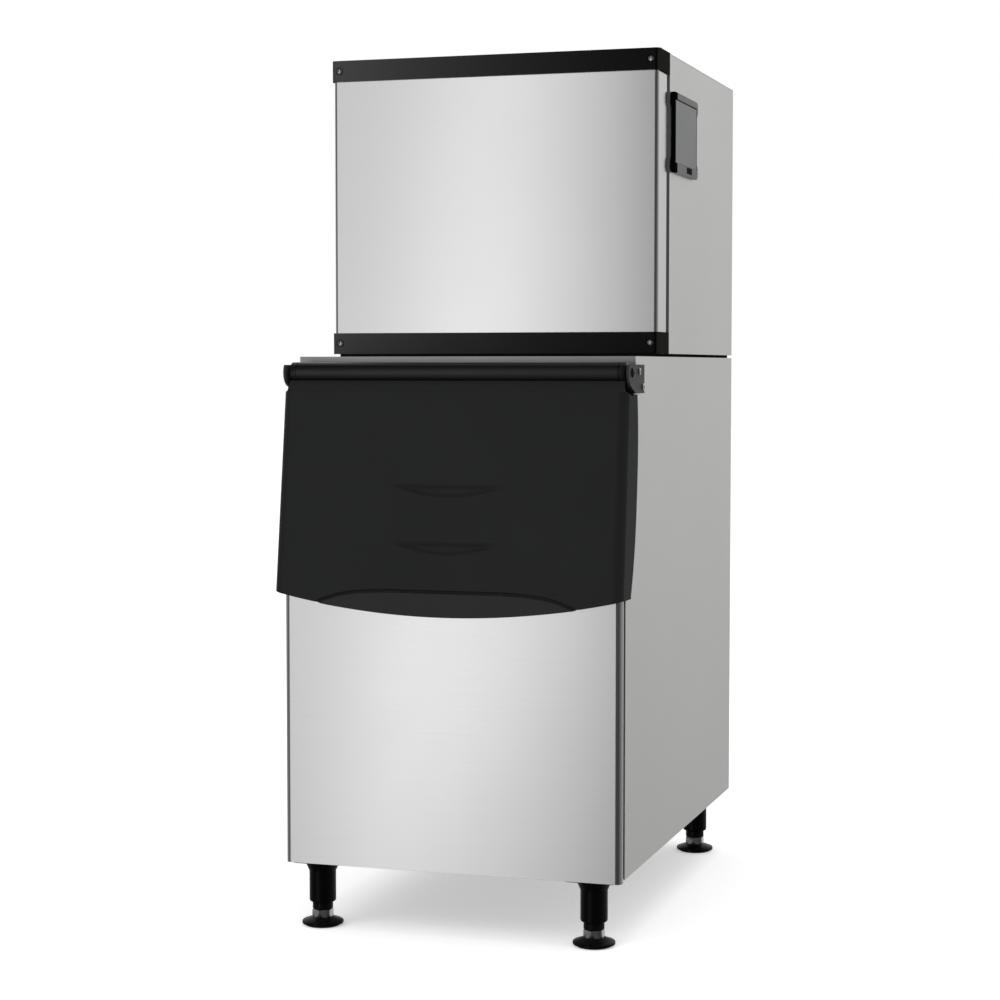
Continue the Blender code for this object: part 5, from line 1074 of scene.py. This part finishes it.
for label, (x, y) in LEG_PLACES.items():
    leg, foot = f"leg_{label}", f"foot_{label}"
    tube = moved_copy(sleeve, f"sleeve_{label}", x, y)
    dress(tube, "cabinet", "black_moulding", LEG_BLACK, leg)
    dress(moved_copy(disc, f"disc_{label}", x, y), foot, "black_gloss", TRIM_BLACK, foot)
    dress(moved_copy(hexagon, f"hexagon_{label}", x, y), foot, "bright_steel", BRIGHT, foot)
for pattern in (sleeve, disc, hexagon):
    bpy.data.objects.remove(pattern, do_unlink=True)
print("legs:", len(LEG_PLACES))

# %% [markdown]
# The side hatch is glossy black. Seen along the side panel it mirrors the bright room behind, and
# so looks grey. Its bezel has wide rounded strips above and below and a narrower waist, and the
# flap lies between them. The front ends of the strips stay black on the real machine, so Bisect
# draws a line across them, and the faces in front of that line get a matt black.

# %% Hatch
LOBE_DEPTH = 0.024
FACE_DEPTH = 0.004
FRONT_FACING = -0.4
HATCH_EDGE = moulding("hatch_edge", (0.003, 0.003, 0.003), 0.5, 0.0, stipple=0.03, dust=0.0)
bezel = eased("hatch_bezel", 0.0006, HATCH_BLACK, "black_gloss", smooth=40)
front = min(vertex.co.y for vertex in bezel.data.vertices)
outside = max(vertex.co.x for vertex in bezel.data.vertices)
pick(bezel, "FACE", lambda face: True)
bpy.ops.mesh.bisect(plane_co=(0, front + LOBE_DEPTH, 0), plane_no=(0, 1, 0))
done()
keep_flat(bezel)
bezel.data.materials.append(HATCH_EDGE)
for face in bezel.data.polygons:
    in_lobe = face.center.y < front + LOBE_DEPTH and face.center.x > outside - FACE_DEPTH
    face.material_index = int(in_lobe or face.normal.y < FRONT_FACING)
print("hatch made")

# %% [markdown]
# The studio is a pale floor that runs out of sight in an even white room. The floor glows a
# little to the camera, so that it meets the room without a line and still keeps the shadow.

# %% Floor
FLOOR_SIZE = 60
FLOOR_GLOW = 0.42
bpy.ops.mesh.primitive_plane_add(size=1, location=(0, 0, 0))
floor = named("studio_floor")
floor.scale = (FLOOR_SIZE, FLOOR_SIZE, 1)
bpy.ops.object.transform_apply(location=True, rotation=True, scale=True)
pick(floor, "FACE", lambda face: True)
bpy.ops.mesh.subdivide(number_cuts=3)
done()
floor_look, floor_tree, floor_shader = blank("floor_white", (0.92, 0.92, 0.92), 0.9, specular=0.0)
paths = floor_tree.nodes.new("ShaderNodeLightPath")
seen = floor_tree.nodes.new("ShaderNodeMath")
seen.operation = "MAXIMUM"
link(floor_tree, paths.outputs["Is Camera Ray"], seen.inputs[0])
link(floor_tree, paths.outputs["Is Glossy Ray"], seen.inputs[1])
lift = remap(floor_tree, seen.outputs[0], 0, 1, 0.0, FLOOR_GLOW)
floor_shader.inputs["Emission Color"].default_value = (1, 1, 1, 1)
link(floor_tree, lift, floor_shader.inputs["Emission Strength"])
floor.data.materials.append(floor_look)
floor.visible_glossy = False
print("floor laid")

# %% [markdown]
# To the camera the room is plain white, and matt surfaces see it a little dimmer. Glossy surfaces
# see a studio instead, and all that satin steel shows is what stands there. Its levels are kept in
# three tables. STUDIO goes once round the machine, in degrees from the front: darkest ahead and at
# the right front, paler to both sides, palest behind. PANEL is the bright panel a little left of
# the front, in degrees from its edge: soft on its far side, brightest near the edge, then falling
# to nothing. BAND gives how both fade from the horizon to the floor and to the ceiling.

# %% Levels of the studio
STUDIO = (
    (-180, 0.55), (-150, 0.50), (-125, 0.38), (-95, 0.26), (-60, 0.11), (-7, 0.07),
    (50, 0.05), (90, 0.20), (120, 0.31), (138, 0.37), (152, 0.49), (165, 0.55), (180, 0.55),
)
PANEL_EDGE = math.radians(14)
PANEL = (
    (-22, 0.00), (-16, 0.36), (-12, 0.62), (-10, 0.67), (-8.5, 0.58), (-7, 0.52),
    (-6, 0.74), (-5, 1.12), (-4.2, 1.27), (-3.4, 1.13), (-2.6, 0.92), (-1.8, 0.80),
    (-1, 0.73), (-0.4, 0.60), (0.2, 0.41), (0.8, 0.20), (1.6, 0.05), (3, 0.00), (8, 0.00),
)
BAND = (
    (-1, 0.05), (-0.87, 0.09), (-0.73, 0.26), (-0.57, 0.44), (-0.34, 0.55), (-0.23, 0.74),
    (-0.14, 1.02), (-0.05, 1.03), (0.02, 1.0), (0.12, 1.0), (0.25, 0.93), (0.39, 0.78),
    (0.57, 0.56), (0.74, 0.30), (0.87, 0.18), (1, 0.08),
)
print("levels:", len(STUDIO), len(PANEL), len(BAND))

# %% [markdown]
# The world's own direction is split into an angle round the machine and a height. The panel leans
# a little: its angles are stretched with the height, and so the bands on the head and on the bin
# each stand in their own place. Behind the machine a plain slope takes the place of BAND.

# %% The studio that glossy surfaces see
LEAN_HEIGHT = 0.25
LEAN_LOW, LEAN_HIGH = 0.65, 1.35
SLOPE_HEIGHT = 0.3
SLOPE_LOW, SLOPE_HIGH = 0.72, 1.28
BEHIND_START, BEHIND_END = -0.2, 0.3
world = bpy.data.worlds.new("white_room")
bpy.context.scene.world = world
world.use_nodes = True
room = world.node_tree
room.nodes.clear()
sight = room.nodes.new("ShaderNodeSeparateXYZ")
link(room, room.nodes.new("ShaderNodeTexCoord").outputs["Generated"], sight.inputs[0])
forward = room.nodes.new("ShaderNodeMath")
forward.operation = "MULTIPLY"
forward.inputs[1].default_value = -1.0
link(room, sight.outputs["Y"], forward.inputs[0])
heading = room.nodes.new("ShaderNodeMath")
heading.operation = "ARCTAN2"
link(room, sight.outputs["X"], heading.inputs[0])
link(room, forward.outputs[0], heading.inputs[1])
around = remap(room, heading.outputs[0], -math.pi, math.pi)
beyond = room.nodes.new("ShaderNodeMath")
beyond.inputs[1].default_value = PANEL_EDGE
link(room, heading.outputs[0], beyond.inputs[0])
lean = remap(room, sight.outputs["Z"], -LEAN_HEIGHT, LEAN_HEIGHT, LEAN_LOW, LEAN_HIGH)
leaning = times(room, beyond.outputs[0], lean)


def levels(value, table):
    """A ramp of grey levels over places from 0 to 1."""
    made = room.nodes.new("ShaderNodeValToRGB")
    stops = made.color_ramp.elements
    for place, level in table:
        stop = {0: stops[0], 1: stops[-1]}.get(place) or stops.new(place)
        stop.color = (level, level, level, 1)
    link(room, value, made.inputs[0])
    return made.outputs["Color"]


all_round = levels(around, [((angle + 180) / 360, level) for angle, level in STUDIO])
PANEL_START, PANEL_END = PANEL[0][0], PANEL[-1][0]
across = remap(room, leaning, math.radians(PANEL_START), math.radians(PANEL_END))
places = [(angle - PANEL_START) / (PANEL_END - PANEL_START) for angle, level in PANEL]
panel = levels(across, [(place, level) for place, (angle, level) in zip(places, PANEL)])
lit = room.nodes.new("ShaderNodeMath")
link(room, all_round, lit.inputs[0])
link(room, panel, lit.inputs[1])
behind = remap(room, sight.outputs["Y"], BEHIND_START, BEHIND_END)
slope = remap(room, sight.outputs["Z"], -SLOPE_HEIGHT, SLOPE_HEIGHT, SLOPE_LOW, SLOPE_HIGH)
band = levels(remap(room, sight.outputs["Z"], -1, 1), [((z + 1) / 2, level) for z, level in BAND])
fading = room.nodes.new("ShaderNodeMix")
link(room, behind, fading.inputs[0])
link(room, band, fading.inputs[2])
link(room, slope, fading.inputs[3])
studio = times(room, lit.outputs[0], fading.outputs[0])
print("studio nodes:", len(room.nodes))

# %% [markdown]
# Light Path tells which kind of ray has reached the room, and the level is chosen by it: the
# studio for glossy rays, a plain level for the rays that light matt surfaces, and full white to the
# camera.

# %% Room
MATT_LEVEL = 0.75
CAMERA_LEVEL = 1.0


def choose(mask, plain, other):
    """Mix a plain level with another by a mask."""
    made = room.nodes.new("ShaderNodeMix")
    link(room, mask, made.inputs[0])
    link(room, other, made.inputs[2])
    made.inputs[3].default_value = plain
    return made.outputs[0]


paths = room.nodes.new("ShaderNodeLightPath")
matt = room.nodes.new("ShaderNodeMath")
matt.operation = "SUBTRACT"
matt.inputs[0].default_value = 1.0
link(room, paths.outputs["Is Glossy Ray"], matt.inputs[1])
surface_level = choose(matt.outputs[0], MATT_LEVEL, studio)
level = choose(paths.outputs["Is Camera Ray"], CAMERA_LEVEL, surface_level)
background = room.nodes.new("ShaderNodeBackground")
background.inputs["Color"].default_value = (1, 1, 1, 1)
link(room, level, background.inputs["Strength"])
output = room.nodes.new("ShaderNodeOutputWorld")
link(room, background.outputs[0], output.inputs["Surface"])
print("room nodes:", len(room.nodes))

# %% [markdown]
# Two large soft lamps add a little shape: one high on the left front, one above. Both aim at the
# machine's middle, and neither shows in the gloss, which sees the studio only.

# %% Lamps
AIM = Vector((0, 0, 0.7))


def lamp(name, place, size, power):
    """A square lamp at a place, turned to the machine."""
    light = bpy.data.lights.new(name, "AREA")
    light.size = size
    light.energy = power
    made = bpy.data.objects.new(name, light)
    bpy.context.scene.collection.objects.link(made)
    made.location = place
    made.rotation_euler = (AIM - Vector(place)).to_track_quat("-Z", "Y").to_euler()
    made.visible_glossy = False


lamp("key_lamp", (-2.4, -3.2, 3.4), 2.4, 45)
lamp("top_lamp", (0.6, 0.2, 4.2), 3.0, 40)
print("lamps:", len(bpy.data.lights))

# %% [markdown]
# The camera stands to the right of the machine's middle and looks slightly down, as a long lens
# would from across the room. Its place and angle were worked out from the edges of both boxes.

# %% Camera
CAMERA_PLACE = (1.120, -3.318 - MIDDLE, 0.900)
CAMERA_LENS = 81.0
LOOKS_DOWN = 3.37
LOOKS_LEFT = 17.35
view = bpy.data.cameras.new("studio_camera")
view.lens = CAMERA_LENS
view.sensor_width = 36.0
camera = bpy.data.objects.new("studio_camera", view)
bpy.context.scene.collection.objects.link(camera)
camera.location = CAMERA_PLACE
camera.rotation_euler = (math.radians(90 - LOOKS_DOWN), 0, math.radians(LOOKS_LEFT))
bpy.context.scene.camera = camera
bpy.context.scene.view_settings.view_transform = "Standard"
print("camera set")

# %% [markdown]
# The box round the dressed machine should agree with the box round the solids to the millimetre,
# apart from rounded rims and the flare of the pull.

# %% The end
print("model dressed")
